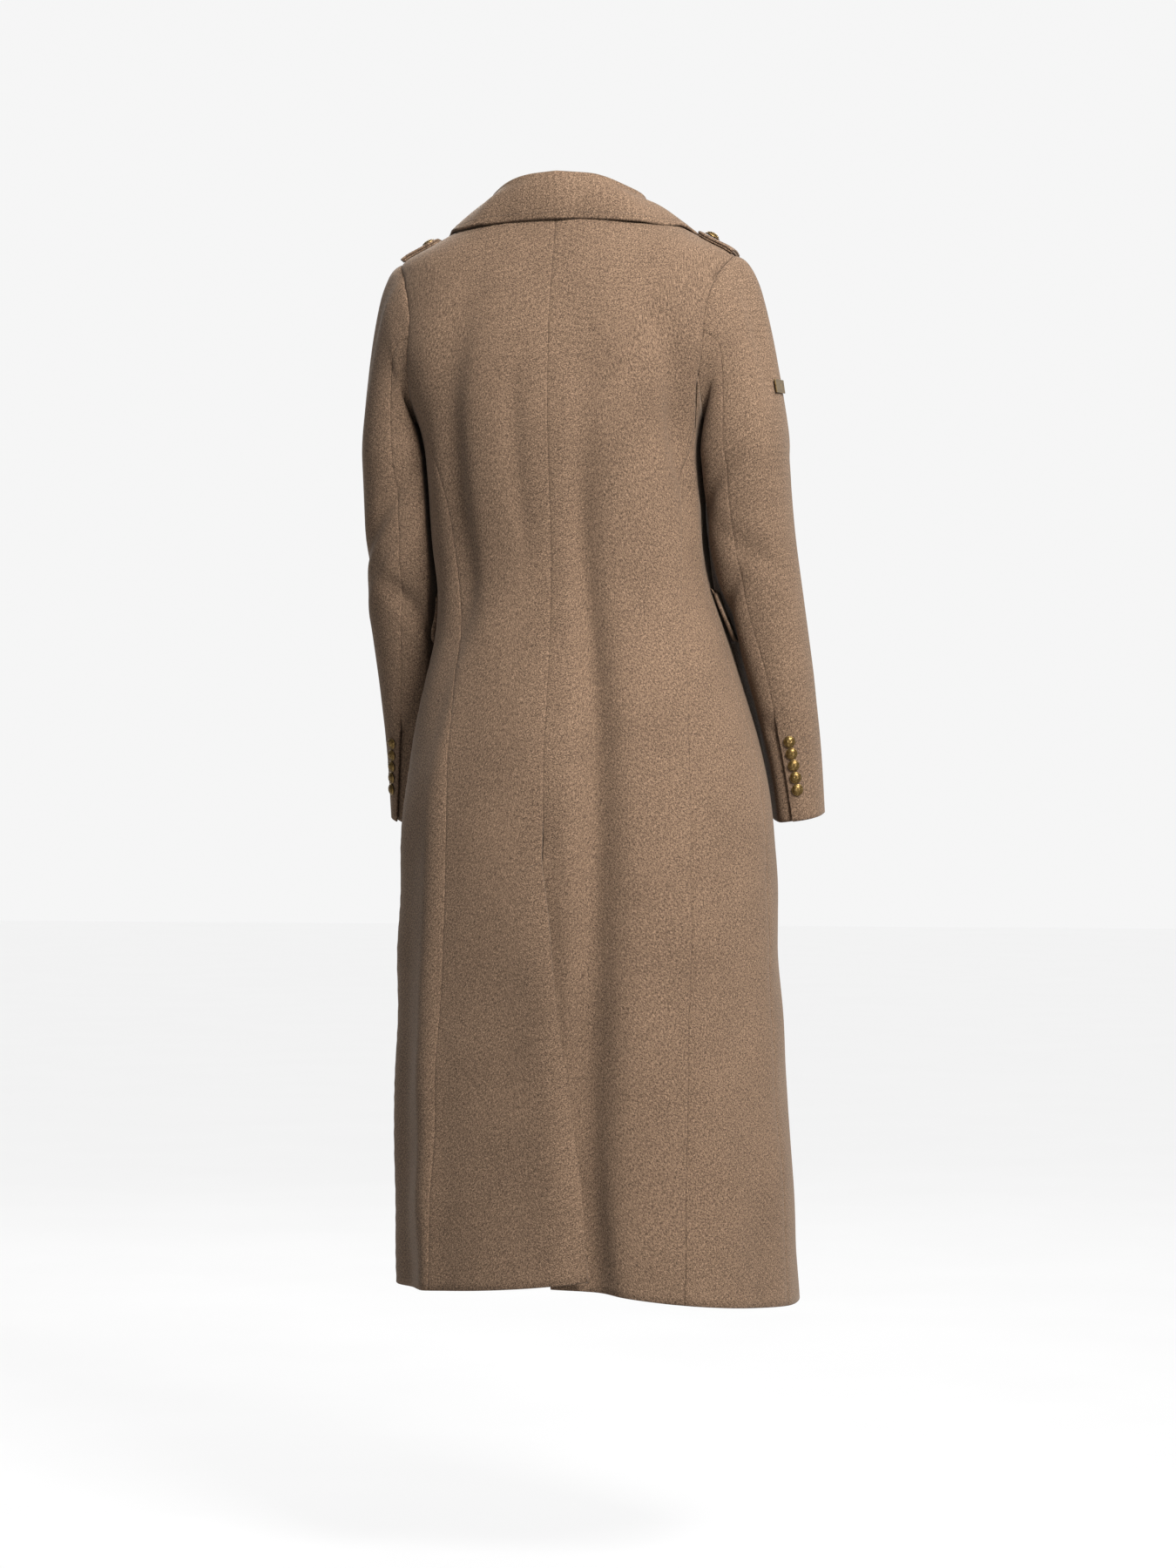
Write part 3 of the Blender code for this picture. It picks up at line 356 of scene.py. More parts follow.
def body_normal(angle, z):
    step = 0.0006
    up = body_surface(angle, z + step) - body_surface(angle, z - step)
    around = body_surface(angle + step, z) - body_surface(angle - step, z)
    return unit(np.cross(up, around))


def body(angle, z, out=0.0):
    """A point on the body's cloth, moved out of it."""
    angle, z = np.asarray(angle, float), np.asarray(z, float)
    return body_surface(angle, z) + body_normal(angle, z) * np.asarray(out)[..., None]


def angle_of(x, z, half, side=None):
    """The angle of the body's point at x and z, on its back half or its front half."""
    x, z = np.asarray(x, float), np.asarray(z, float)
    off = x - lean_at(z)
    n = roundness_at(z)
    share = np.clip(np.abs(off) / half_width_at(z), 0, 0.99995)
    depth = back_at(z) if half > 0 else front_at(z)
    angle = np.arctan2(off, half * depth * (1 - share**n) ** (1 / n))
    if half < 0 and side is not None:
        angle = np.where(angle * side < 0, angle + side * tau, angle)
    return angle


def armhole(side, degrees):
    """Angle and height on the body of a point of the armhole."""
    turn = np.radians(degrees)
    reach = np.where(np.cos(turn) > 0, ARMHOLE_BACK, ARMHOLE_FRONT)
    y = reach * np.cos(turn)
    z = (SHOULDER_TIP + ARMPIT) / 2 + (SHOULDER_TIP - ARMPIT) / 2 * np.sin(turn)
    depth = np.where(y > 0, back_at(z), front_at(z))
    n = roundness_at(z)
    off = half_width_at(z) * (1 - (np.abs(y) / depth) ** n) ** (1 / n)
    return np.arctan2(side * off, y), z


def armhole_frame(side, degrees):
    """The armhole's point, and the direction in the cloth that leads off its edge."""
    point = body_surface(*armhole(side, degrees))
    step = 0.2
    along = body_surface(*armhole(side, degrees + step)) - body_surface(*armhole(side, degrees - step))
    normal = body_normal(*armhole(side, degrees))
    return point, side * unit(np.cross(normal, along))


def lerp(a, b, share):
    return a + (b - a) * share


def edge_centre_back(side):
    """The centre back seam, and below it the edge of the vent on that side."""

    def at(z):
        lap = np.where(z < VENT_TOP, vent_lap_at(z), 0)
        if side == RIGHT:
            lap = lap + UNDERLAP * np.clip((VENT_TOP - z) / (VENT_TOP - VENT_CORNER), 0, 1)
        return angle_of(lap, z, 1)

    return at


def edge_back_seam(side):
    """The seam between the back and the side body, from the armhole down."""
    angle, z = armhole(side, BACK_JUNCTION)
    top = BackSeam(float(z), *(float(body_surface(*armhole(s, BACK_JUNCTION))[0]) for s in (LEFT, RIGHT)))
    line = curve((top,) + BACK_SEAMS, "z", SIDE_NAMES[side])
    return lambda at: angle_of(line(at), at, 1)


def edge_side_seam(side):
    return lambda z: side * np.radians(side_seam_at(z))


def edge_front(side):
    return lambda z: angle_of(lean_at(z) - side * FRONT_LAP, z, -1, side)


def lower_panel(side, edges, tops, columns):
    """Angles and heights below the armhole's level, between two seams and down to the hem."""
    u = np.linspace(0, 1, columns + 1)[None, :]
    sides = []
    for edge, top in zip(edges, tops):
        angle = edge(lerp(top, HEMS[3].left, LOWER_SHARES))
        z = lerp(top, hem_at[side](np.degrees(angle) * side), LOWER_SHARES)
        sides.append((edge(z), z))
    (angle_a, z_a), (angle_b, z_b) = sides
    angle = lerp(angle_a, angle_b, u)
    hem_a, hem_b = (hem_at[side](np.degrees(a) * side) for a in (angle_a, angle_b))
    rise = hem_at[side](np.degrees(angle) * side) - lerp(hem_a, hem_b, u)
    z = lerp(z_a, z_b, u) + LOWER_SHARES * rise
    return angle, z


def patch(bottom, top, start, end):
    """Angles and heights filled in between four edges, each a row of (angle, z)."""
    u = np.linspace(0, 1, len(bottom))[None, :, None]
    v = np.linspace(0, 1, len(start))[:, None, None]
    across = lerp(bottom[None], top[None], v)
    along = lerp(start[:, None], end[:, None], u)
    corners = lerp(lerp(bottom[0], bottom[-1], u), lerp(top[0], top[-1], u), v)
    filled = across + along - corners
    return filled[..., 0], filled[..., 1]


def inset(angle, z, columns):
    """Draws the panel's two side edges in by half of the seam gap."""
    angle = angle.copy()
    for c, towards in columns:
        step = SEAM_GAP / 2 / radius(angle[:, c], z[:, c])
        angle[:, c] += np.sign(angle[:, towards] - angle[:, c]) * step
    return angle


def stack_panel(upper, lower):
    """One grid from the top edge down to the hem."""
    return [np.concatenate((high[::-1], low[1:])) for high, low in zip(upper, lower)]


def shoulder_seam(side, share):
    """A point of the shoulder seam, from the neck (0) to the tip (1)."""
    z = lerp(NECK, SHOULDER_TIP, share)
    return np.stack((np.full_like(z, side * pi / 2), z), axis=-1)


def back_grid(side):
    junction_z = armhole(side, BACK_JUNCTION)[1]
    columns = BACK_NECK_COLUMNS + BACK_SHOULDER_COLUMNS
    degrees = np.arange(BACK_JUNCTION, 90 + 1, ARMHOLE_STEP)
    centre_z = lerp(junction_z, NECK, np.linspace(0, 1, len(degrees)))
    start = np.stack((edge_centre_back(side)(centre_z), centre_z), axis=-1)
    end = np.stack(armhole(side, degrees), axis=-1)
    neck = np.linspace(0, side * pi / 2, BACK_NECK_COLUMNS + 1)[:-1]
    neck = np.stack((neck, np.full_like(neck, NECK)), axis=-1)
    top = np.concatenate((neck, shoulder_seam(side, np.linspace(0, 1, BACK_SHOULDER_COLUMNS + 1))))
    lower = lower_panel(side, (edge_centre_back(side), edge_back_seam(side)), (junction_z,) * 2, columns)
    bottom = np.stack((lower[0][0], lower[1][0]), axis=-1)
    start[0], end[0] = bottom[0], bottom[-1]
    angle, z = stack_panel(patch(bottom, top, start, end), lower)
    angle = inset(angle, z, ((0, 1), (-1, -2)))
    shoulder = np.s_[0, BACK_NECK_COLUMNS:]
    angle[shoulder] -= side * SEAM_GAP / 2 / radius(angle[shoulder], z[shoulder])
    return angle, z


# How the cloth looks at its seams: drawn in at the stitches, pressed flat beside them, and a
# little puckered along them
SEAM_DIP, SEAM_REACH = 0.0005, 0.0012
PRESSED_DIP, PRESSED_REACH = 0.0004, 0.006
PUCKER_HEIGHT, PUCKER_REACH, PUCKER_PITCH = 0.00035, 0.010, 0.021


def between_columns(grid, rows, columns):
    """The grid's values at fractional rows and columns."""
    for axis, places in ((0, rows), (1, columns)):
        low = np.minimum(np.floor(places).astype(int), grid.shape[axis] - 2)
        share = places - low
        share = share[:, None] if axis == 0 else share[None, :]
        grid = np.take(grid, low, axis) * (1 - share) + np.take(grid, low + 1, axis) * share
    return grid


def close_to_edges(count):
    """Even places from 0 to count, with more of them close to each end."""
    near = np.array([0, 0.06, 0.13, 0.22, 0.40, 0.65])
    return np.concatenate((near, np.arange(1, count), count - near[::-1]))


def distance_along(points):
    """How far each point of a grid is from its first column, along the row."""
    steps = np.linalg.norm(np.diff(points, axis=1), axis=-1)
    return np.concatenate((np.zeros((len(points), 1)), np.cumsum(steps, axis=1)), axis=1)


def seam_dip(points, start=1.0, end=1.0):
    """How deep the cloth goes in at the seams along its first and last columns."""
    along = distance_along(points)
    down = distance_along(points.transpose(1, 0, 2)).T
    depth = np.zeros(along.shape)
    for amount, off in ((start, along), (end, along[:, -1:] - along)):
        pucker = PUCKER_HEIGHT * np.sin(down * tau / PUCKER_PITCH + 2 * np.sin(down * 31))
        dip = SEAM_DIP * bell(off, SEAM_REACH) + PRESSED_DIP * bell(off, PRESSED_REACH)
        depth = depth + amount * (dip + pucker * bell(off, PUCKER_REACH))
    return depth


def add_piece(name, points, faces, material):
    """A new piece of cloth or thread, its faces turned outward."""
    mesh = bpy.data.meshes.new(name)
    mesh.from_pydata(points, [], faces)
    shape = bmesh.new()
    shape.from_mesh(mesh)
    bmesh.ops.recalc_face_normals(shape, faces=shape.faces)
    shape.to_mesh(mesh)
    shape.free()
    mesh.materials.append(material)
    mesh.shade_smooth()
    piece = bpy.data.objects.new(name, mesh)
    bpy.context.scene.collection.objects.link(piece)
    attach(piece, "root")
    return piece


def cloth_piece(name, outer, inner, nodes, free=()):
    """A panel with its two faces and its edges; a free edge is turned and rounded."""
    rows, columns = outer.shape[:2]
    border = [(0, c) for c in range(columns - 1)] + [(r, columns - 1) for r in range(rows - 1)]
    border += [(rows - 1, c) for c in range(columns - 1, 0, -1)] + [(r, 0) for r in range(rows - 1, 0, -1)]
    middles = []
    for r, c in border:
        side = "top" if r == 0 else "bottom" if r == rows - 1 else "start" if c == 0 else "end"
        back = outer[min(max(r, 1), rows - 2), min(max(c, 1), columns - 2)]
        bulge = 0.4 * np.linalg.norm(outer[r, c] - inner[r, c]) if side in free else 0
        middles.append((outer[r, c] + inner[r, c]) / 2 + unit(outer[r, c] - back) * bulge)
    count = rows * columns
    index = np.arange(count).reshape(rows, columns)
    quads = np.stack((index[:-1, :-1], index[:-1, 1:], index[1:, 1:], index[1:, :-1]), axis=-1).reshape(-1, 4)
    faces = [tuple(q) for q in quads] + [tuple(q[::-1] + count) for q in quads]
    for i, (here, there) in enumerate(zip(border, border[1:] + border[:1])):
        a, b = int(index[here]), int(index[there])
        m, n = 2 * count + i, 2 * count + (i + 1) % len(border)
        faces += [(b, a, m, n), (n, m, a + count, b + count)]
    points = np.concatenate((outer.reshape(-1, 3), inner.reshape(-1, 3), middles)).tolist()
    piece = add_piece(name, points, faces, wool.material)
    across, down = distance_along(outer), distance_along(outer.transpose(1, 0, 2)).T
    places = np.stack((across, -down), axis=-1)
    flat = [places.reshape(-1, 2)] * 2 + [np.array([places[at] for at in border])]
    corners = np.array([loop.vertex_index for loop in piece.data.loops])
    grain = piece.data.uv_layers.new(name="grain")
    grain.data.foreach_set("uv", np.concatenate(flat)[corners].astype(np.float32).ravel())
    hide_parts(*nodes)
    sides = np.cross(outer[1:, 1:] - outer[:-1, :-1], outer[:-1, 1:] - outer[1:, :-1])


def body_panel(node, angle, z, out, free=("bottom",), start=1.0, end=1.0):
    """One panel of the body; start and end say how strong its seams are at its two sides."""
    rows, columns = angle.shape
    down, over = np.arange(rows, dtype=float), close_to_edges(columns - 1)
    angle, z = between_columns(angle, down, over), between_columns(z, down, over)
    out = between_columns(np.broadcast_to(out, (rows, columns)), down, over)
    points = body(angle, z, out)
    out = out - seam_dip(points, start, end)
    outer, inner = body(angle, z, out), body(angle, z, out - WALL)
    cloth_piece(node + "_cloth", outer, inner, [node], free)


# The back: two panels joined down the middle. Below the waist the seam opens into a vent,
# where the left panel laps over an underlap on the right one; the hem is turned up.
VENT_DROP = 0.010  # how far its two edges fall apart
for side in (LEFT, RIGHT):
    angle, z = back_grid(side)
    above_vent = ramp((z[:, :1] - VENT_TOP) / 0.02)
    x = body_surface(angle, z)[..., 0]
    lap = np.where(z < VENT_TOP, vent_lap_at(z), 0)
    falling_open = ramp((VENT_TOP - z) / 0.15)
    if side == LEFT:
        out = VENT_DROP * falling_open * bell(x - lap, 0.040)
    else:
        out = -TUCK * ramp((VENT_TOP + 0.07 - z) / 0.06) * ramp((x - lap + 0.035) / 0.030)
        out = out - VENT_DROP * falling_open * np.exp(-np.abs(x - lap) / 0.035)
    body_panel("back_" + SIDE_NAMES[side], angle, z, out, start=above_vent)

# The side bodies: a narrow panel on each side from the armhole to the hem, set between the
# back and the front by pressed seams.
for side in (LEFT, RIGHT):
    edges = (edge_back_seam(side), edge_side_seam(side))
    degrees = np.linspace(BACK_JUNCTION, -90, SIDE_COLUMNS + 1)
    arc_angle, arc_z = armhole(side, degrees)
    angle, z = lower_panel(side, edges, (arc_z[0], arc_z[-1]), SIDE_COLUMNS)
    fade = (1 - LOWER_SHARES / 0.25).clip(0, 1) ** 1.5
    angle = angle + (arc_angle - angle[0])[None] * fade
    z = z + (arc_z - z[0])[None] * fade
    angle = inset(angle, z, ((0, 1), (-1, -2)))
    body_panel("side_" + SIDE_NAMES[side], angle, z, 0.0)

# The fronts: the right one laps over the left one by twice the overlap, and both go on above
# the break as far as the fold of the lapels.
def front_grid(side):
    degrees = np.arange(-90, -270 - 1, -ARMHOLE_STEP)
    rows = len(degrees)
    lower = lower_panel(side, (edge_side_seam(side), edge_front(side)), (ARMPIT, BREAK), FRONT_COLUMNS)
    bottom = np.stack((lower[0][0], lower[1][0]), axis=-1)
    start_angle, start_z = armhole(side, degrees)
    start = np.stack((start_angle, start_z), axis=-1)
    way = np.linspace(0, 1, rows)
    end_z = lerp(BREAK, NECK, 1 - (1 - way) ** 1.6)
    end = np.stack((angle_of(side * break_line_at(end_z), end_z, -1, side), end_z), axis=-1)
    top = shoulder_seam(side, np.linspace(1, 0, FRONT_COLUMNS + 1))
    start[0], end[0] = bottom[0], bottom[-1]
    start[-1], end[-1] = top[0], top[-1]
    angle, z = stack_panel(patch(bottom, top, start, end), lower)
    angle = inset(angle, z, ((0, 1),))
    angle[0] += side * SEAM_GAP / 2 / radius(angle[0], z[0])
    return angle, z


def under_right_front(x, z):
    """1 where the right front covers the left one, fading out beyond its edge."""
    edge = np.where(z < BREAK, lean_at(z) + FRONT_LAP, -break_line_at(z))
    return ramp((edge + 0.042 - x) / 0.030)


for side in (LEFT, RIGHT):
    angle, z = front_grid(side)
    out = 0.0
    if side == LEFT:
        point = body_surface(angle, z)
        out = -FRONT_TUCK * under_right_front(point[..., 0], z) * ramp((-0.03 - z) / 0.06)
    body_panel("front_" + SIDE_NAMES[side], angle, z, out,
               ("bottom", "end"), end=0.0)

# The hip pockets: a flap with rounded corners sewn in under a narrow welt, on each front and
# side body, of the coat's own cloth in two layers.
FLAP_TOP, FLAP_DEPTH = -0.432, 0.054
FLAP_START, FLAP_END = 90, 150  # degrees from the centre back
FLAP_CORNER = 0.016
FLAP_KICK = 0.003
FLAP_SEAT = 0.0022  # the waist is hollow there, so the flap lies a little off it
FLAP_OUT = FLAP_SEAT + FLAP_KICK + EDGE_WALL
HIP_RADIUS = 0.145
WELT_HEIGHT, WELT_WALL = 0.006, 0.0016
flaps = {}
for side in (LEFT, RIGHT):
    u = np.linspace(0, 1, 61)[None, :]
    v = np.linspace(0, 1, 25)[:, None]
    near_end = np.minimum(u, 1 - u) * radians(FLAP_END - FLAP_START) * HIP_RADIUS
    in_corner = np.maximum(FLAP_CORNER - near_end, 0)
    rounding = FLAP_CORNER - np.sqrt(np.maximum(FLAP_CORNER**2 - in_corner**2, 0))
    z = FLAP_TOP - v * (FLAP_DEPTH - rounding)
    angle = side * np.radians(lerp(FLAP_START, FLAP_END, u)) + 0 * z
    out = FLAP_SEAT + FLAP_KICK * v**2 + EDGE_WALL
    outer, inner = body(angle, z, out), body(angle, z, out - EDGE_WALL)
    name, front = "flap_" + SIDE_NAMES[side], ["front_" + SIDE_NAMES[side]]
    cloth_piece(name + "_cloth", outer, inner, [name], ("bottom", "start", "end"))
    flaps[side] = outer
    z = FLAP_TOP + WELT_HEIGHT * (0.9 - v[::4]) + 0 * u
    angle = side * np.radians(lerp(FLAP_START - 1, FLAP_END + 1, u)) + 0 * z
    rise = WELT_WALL * (1 - (2 * v[::4] - 1) ** 4) + FLAP_SEAT * v[::4]
    outer, inner = body(angle, z, rise + 0.0004), body(angle, z, rise - 0.0008)
    cloth_piece("welt_" + SIDE_NAMES[side], outer, inner, [])

# The sleeves: each has a top and an under piece, sewn into the armhole with a little fullness
# at the head. The elbow is bent, so the cloth breaks into folds inside it.

# The arm's centre and the sleeve's half sizes, from below the armpit to the cuff
Arm = namedtuple("Arm", "share out y z half_width half_depth turn")
ARMS = {
    LEFT: (
        Arm(0.22, 0.183, -0.014, -0.270, 0.057, 0.067, 8),
        Arm(0.40, 0.178, -0.030, -0.370, 0.062, 0.063, 9),
        Arm(0.55, 0.181, -0.050, -0.450, 0.059, 0.059, 12),
        Arm(0.70, 0.185, -0.072, -0.527, 0.050, 0.055, 16),
        Arm(0.85, 0.191, -0.093, -0.605, 0.040, 0.052, 20),
        Arm(1.00, 0.198, -0.110, -0.680, 0.032, 0.050, 24),
    ),
    RIGHT: (
        Arm(0.22, 0.193, -0.010, -0.270, 0.054, 0.067, -8),
        Arm(0.40, 0.201, -0.027, -0.370, 0.052, 0.063, -8),
        Arm(0.55, 0.2135, -0.042, -0.450, 0.048, 0.059, -7),
        Arm(0.70, 0.230, -0.052, -0.527, 0.040, 0.055, -5),
        Arm(0.85, 0.240, -0.066, -0.605, 0.036, 0.052, -2),
        Arm(1.00, 0.248, -0.076, -0.680, 0.031, 0.050, 0),
    ),
}
CAP = 0.22  # share of the sleeve above its first full ring
HEAD_ROLL = 0.007  # how far the sleeve head stands off the shoulder line
SLEEVE_ROUNDNESS = 2.4
SLEEVE_SKEW = {LEFT: 0.0, RIGHT: 0.66}  # how far the front of a sleeve swings in toward the body
ARM_CLEARANCE = 0.003
ARM_SOFTNESS = 0.010  # over how much the sleeve's side flattens where it nears the body
FRONT_SLEEVE_SEAM = 210  # degrees, on the inner front
CUFF_VENT = 0.80  # share of the way down where the cuff's vent starts
CUFF_UNDERLAP = 16  # degrees

SleeveFold = namedtuple("SleeveFold", "side angle share slant half_angle half_share depth")
SLEEVE_FOLDS = (
    SleeveFold(LEFT, 20, 0.33, 0.0022, 45, 0.028, -0.0080),
    SleeveFold(LEFT, 10, 0.43, 0.0024, 40, 0.032, 0.0050),
    SleeveFold(LEFT, -20, 0.52, -0.0015, 40, 0.028, -0.0060),
    SleeveFold(LEFT, 175, 0.40, 0.0020, 45, 0.032, -0.0050),
    SleeveFold(LEFT, 190, 0.55, -0.0015, 40, 0.032, -0.0040),
    SleeveFold(RIGHT, -25, 0.30, -0.0022, 34, 0.026, -0.0075),
    SleeveFold(RIGHT, -22, 0.50, -0.0020, 34, 0.028, -0.0075),
    SleeveFold(RIGHT, 20, 0.42, 0.0016, 40, 0.034, -0.0035),
    SleeveFold(RIGHT, 175, 0.38, 0.0020, 45, 0.032, -0.0050),
    SleeveFold(RIGHT, 185, 0.52, -0.0015, 40, 0.032, -0.0040),
)


def ring(side, degrees, share):
    """A point on a sleeve below the armpit, and the direction out from the sleeve's middle."""
    rows = ARMS[side]
    names = ("out", "y", "z", "half_width", "half_depth", "turn")
    out, y, z, half_width, half_depth, turn = (curve(rows, "share", name)(share) for name in names)
    ahead, behind = (
        stack(*(curve(rows, "share", name)(share + step) for name in ("out", "y", "z")))
        for step in (0.01, -0.01)
    )
    down = unit((ahead - behind) * np.array([side, 1, 1]))
    outward = unit(np.array([side, 0, 0]) - down * (down[..., :1] * side))
    backward = side * np.cross(outward, down)
    place = np.radians(degrees + turn)
    across, back = np.sin(place), np.cos(place)
    size = (np.abs(across / half_width) ** SLEEVE_ROUNDNESS + np.abs(back / half_depth) ** SLEEVE_ROUNDNESS)
    direction = outward * across[..., None] + backward * back[..., None]
    reach = size ** (-1 / SLEEVE_ROUNDNESS)
    swing = SLEEVE_SKEW[side] * ramp((share - CAP) / 0.15) * np.minimum(back * reach, 0)
    return stack(side * out, y, z) + direction * reach[..., None] + outward * swing[..., None], direction


def sleeve_fold(side, degrees, share):
    """How far a sleeve's cloth stands out of its plain section."""
    depth = np.zeros(np.broadcast(degrees, share).shape)
    for fold in SLEEVE_FOLDS:
        if fold.side != side:
            continue
        off = (degrees - fold.angle + 180) % 360 - 180
        line = (share - fold.share - fold.slant * off) / fold.half_share
        depth = depth + fold.depth * np.exp(-((off / fold.half_angle) ** 2) - line**2)
    return depth


def sleeve_surface(side, degrees, share):
    """A point on a sleeve, from the armhole (share 0) to the cuff (share 1)."""
    degrees, share = np.broadcast_arrays(np.asarray(degrees, float), np.asarray(share, float))
    point, direction = ring(side, degrees, np.maximum(share, CAP))
    start, lead = armhole_frame(side, degrees)
    end, _ = ring(side, degrees, np.full_like(share, CAP))
    below, _ = ring(side, degrees, np.full_like(share, CAP + 0.01))
    u = np.clip(share / CAP, 0, 1)[..., None]
    top = np.clip(np.sin(np.radians(degrees)), 0, 1)[..., None]
    span = np.linalg.norm(end - start, axis=-1, keepdims=True)
    leave = lead * (span * (0.62 - 0.05 * top) + 0.014 * (1 - top))
    arrive = unit(below - end) * span * (0.9 - 0.1 * top)
    cap = hermite(u, start, end, leave, arrive)
    roll = HEAD_ROLL * (0.25 + 0.75 * top) * ramp((np.sin(np.radians(degrees))[..., None] + 0.6) / 1.2)
    lift = unit(direction + np.array([0, 0, 0.6]) * top)
    cap = cap + lift * roll * (1 - np.exp(-((u / 0.07) ** 1.5))) * (1 - u) ** 2
    point = np.where(share[..., None] < CAP, cap, point)
    point = point + direction * (sleeve_fold(side, degrees, share) * ramp(share / 0.1))[..., None]
    return clear_of_body(point, ramp(share / 0.06))


def clear_of_body(point, strength):
    """Pushes a sleeve's point out to where it just clears the body's cloth."""
    z = point[..., 2]
    off = point[..., 0] - lean_at(z)
    angle = np.arctan2(off, point[..., 1])
    reach = np.hypot(off, point[..., 1])
    over_flap = FLAP_OUT * bell(z - FLAP_TOP + FLAP_DEPTH / 2, 0.045)
    over_flap = over_flap * ramp((np.abs(np.degrees(angle)) - FLAP_START + 16) / 14)
    least = radius(angle, z) + (ARM_CLEARANCE + over_flap) * strength
    over = reach - least
    soft = ARM_SOFTNESS * strength + 1e-9
    reach = least + (over + np.sqrt(over**2 + soft**2)) / 2
    return stack(lean_at(z) + reach * np.sin(angle), reach * np.cos(angle), z)


def sleeve_normal(side, degrees, share):
    step, turn = 0.002, 0.6
    low = np.maximum(share - step, 0)
    along = sleeve_surface(side, degrees, low + 2 * step) - sleeve_surface(side, degrees, low)
    around = sleeve_surface(side, degrees + turn, share) - sleeve_surface(side, degrees - turn, share)
    return side * unit(np.cross(around, along))


def sleeve(side, degrees, share, out=0.0):
    """A point on a sleeve's cloth, moved out of it."""
    degrees, share = np.broadcast_arrays(np.asarray(degrees, float), np.asarray(share, float))
    normal = sleeve_normal(side, degrees, share)
    return sleeve_surface(side, degrees, share) + normal * np.asarray(out)[..., None]


head_rows, cap_rows = np.linspace(0, 0.03, 9), np.linspace(0.036, CAP, 26)
SLEEVE_ROWS = np.concatenate((head_rows, cap_rows, np.linspace(0.228, 1, 92)))
SLEEVE_RADIUS = 0.055
for side in (LEFT, RIGHT):
    share = SLEEVE_ROWS[:, None]
    start = SEAM_GAP * (share == 0)
    for kind, first, last in (("top", 0, FRONT_SLEEVE_SEAM), ("under", FRONT_SLEEVE_SEAM - 360, 0)):
        places = close_to_edges((last - first) // ARMHOLE_STEP)
        degrees = (first + ARMHOLE_STEP * places)[None, :] + 0 * share
        gap = np.degrees(SEAM_GAP / 2 / SLEEVE_RADIUS)
        degrees[:, 0] += gap
        degrees[:, -1] -= gap
        out = 0.0
        above_vent = ramp((CUFF_VENT - share) / 0.01)
        if kind == "under":
            vent = ramp((share - CUFF_VENT + 0.06) / 0.06)
            out = -TUCK * vent * ramp((degrees + 30) / 22)
            lap = np.clip((share - CUFF_VENT) / 0.02, 0, 1)
            degrees += CUFF_UNDERLAP * lap * ramp((degrees + 30) / 30)
        points = sleeve_surface(side, degrees, share)
        seams = (above_vent, 1.0) if kind == "top" else (1.0, above_vent)
        head = 0.0010 * bell(share, 0.004)
        ease = 0.0006 * np.sin(np.radians(degrees) * 34) * bell(share - 0.022, 0.02)
        out = out - seam_dip(points, *seams) - head + ease * ramp((degrees + 40) / 60)
        outer, inner = sleeve(side, degrees, share, out), sleeve(side, degrees, share, out - WALL)
        lead = armhole_frame(side, degrees)[1]
        for grid in (outer, inner):
            grid += lead * start[..., None]
        name = f"sleeve_{kind}_{SIDE_NAMES[side]}"
        free = ("bottom", "start") if kind == "top" else ("bottom",)
        cloth_piece(name + "_cloth", outer, inner, [name], free)

# The shoulder straps: two layers of the coat's cloth, sewn in at the sleeve head, their free
# ends toward the collar and buttoned down.
STRAP_INNER, STRAP_OUTER = 0.1470, 0.1865
STRAP_HALF_WIDTH = 0.022
STRAP_WALL = 0.0056


def roof(x, y):
    """Height of the shoulder's cloth at x and y."""
    low, high = np.full(np.broadcast(x, y).shape, -0.12), np.full(np.broadcast(x, y).shape, 0.01)
    for _ in range(40):
        middle = (low + high) / 2
        angle = np.arctan2(x - lean_at(middle), y)
        inside = np.hypot(x - lean_at(middle), y) < radius(angle, middle)
        low, high = np.where(inside, middle, low), np.where(inside, high, middle)
    return (low + high) / 2


def on_shoulder(side, x, y, out):
    """A point over the shoulder's cloth at x and y."""
    z = roof(side * x, y)
    return body(np.arctan2(side * x - lean_at(z), y), z, out)


straps = {}
for side in (LEFT, RIGHT):
    u = np.linspace(0, 1, 31)[:, None]
    v = np.linspace(-1, 1, 33)[None, :]
    point = 1 - 0.42 * np.clip((0.30 - u) / 0.30, 0, 1) ** 2
    x = lerp(STRAP_INNER, STRAP_OUTER, u) + 0 * v
    y = v * STRAP_HALF_WIDTH * lerp(0.92, 1.0, u) * point
    name = "strap_" + SIDE_NAMES[side]
    for layer, low, high, draw_in in (("under", 0.0006, 0.0030, 0.97), ("over", 0.0032, STRAP_WALL, 1.0)):
        puff = 0.0006 * (1 - np.maximum(np.abs(v), np.abs(2 * u - 1)) ** 6)
        outer = on_shoulder(side, x, y * draw_in, high + puff)
        nodes = [name] if layer == "over" else []
        cloth_piece(f"{name}_{layer}", outer, on_shoulder(side, x, y * draw_in, low), nodes,
                    ("top", "start", "end"))
    straps[side] = outer

# The lapels: the turned-out edges of the fronts, peaked, with a soft roll at the fold. They lie
# on the fronts and are cut in one with them.

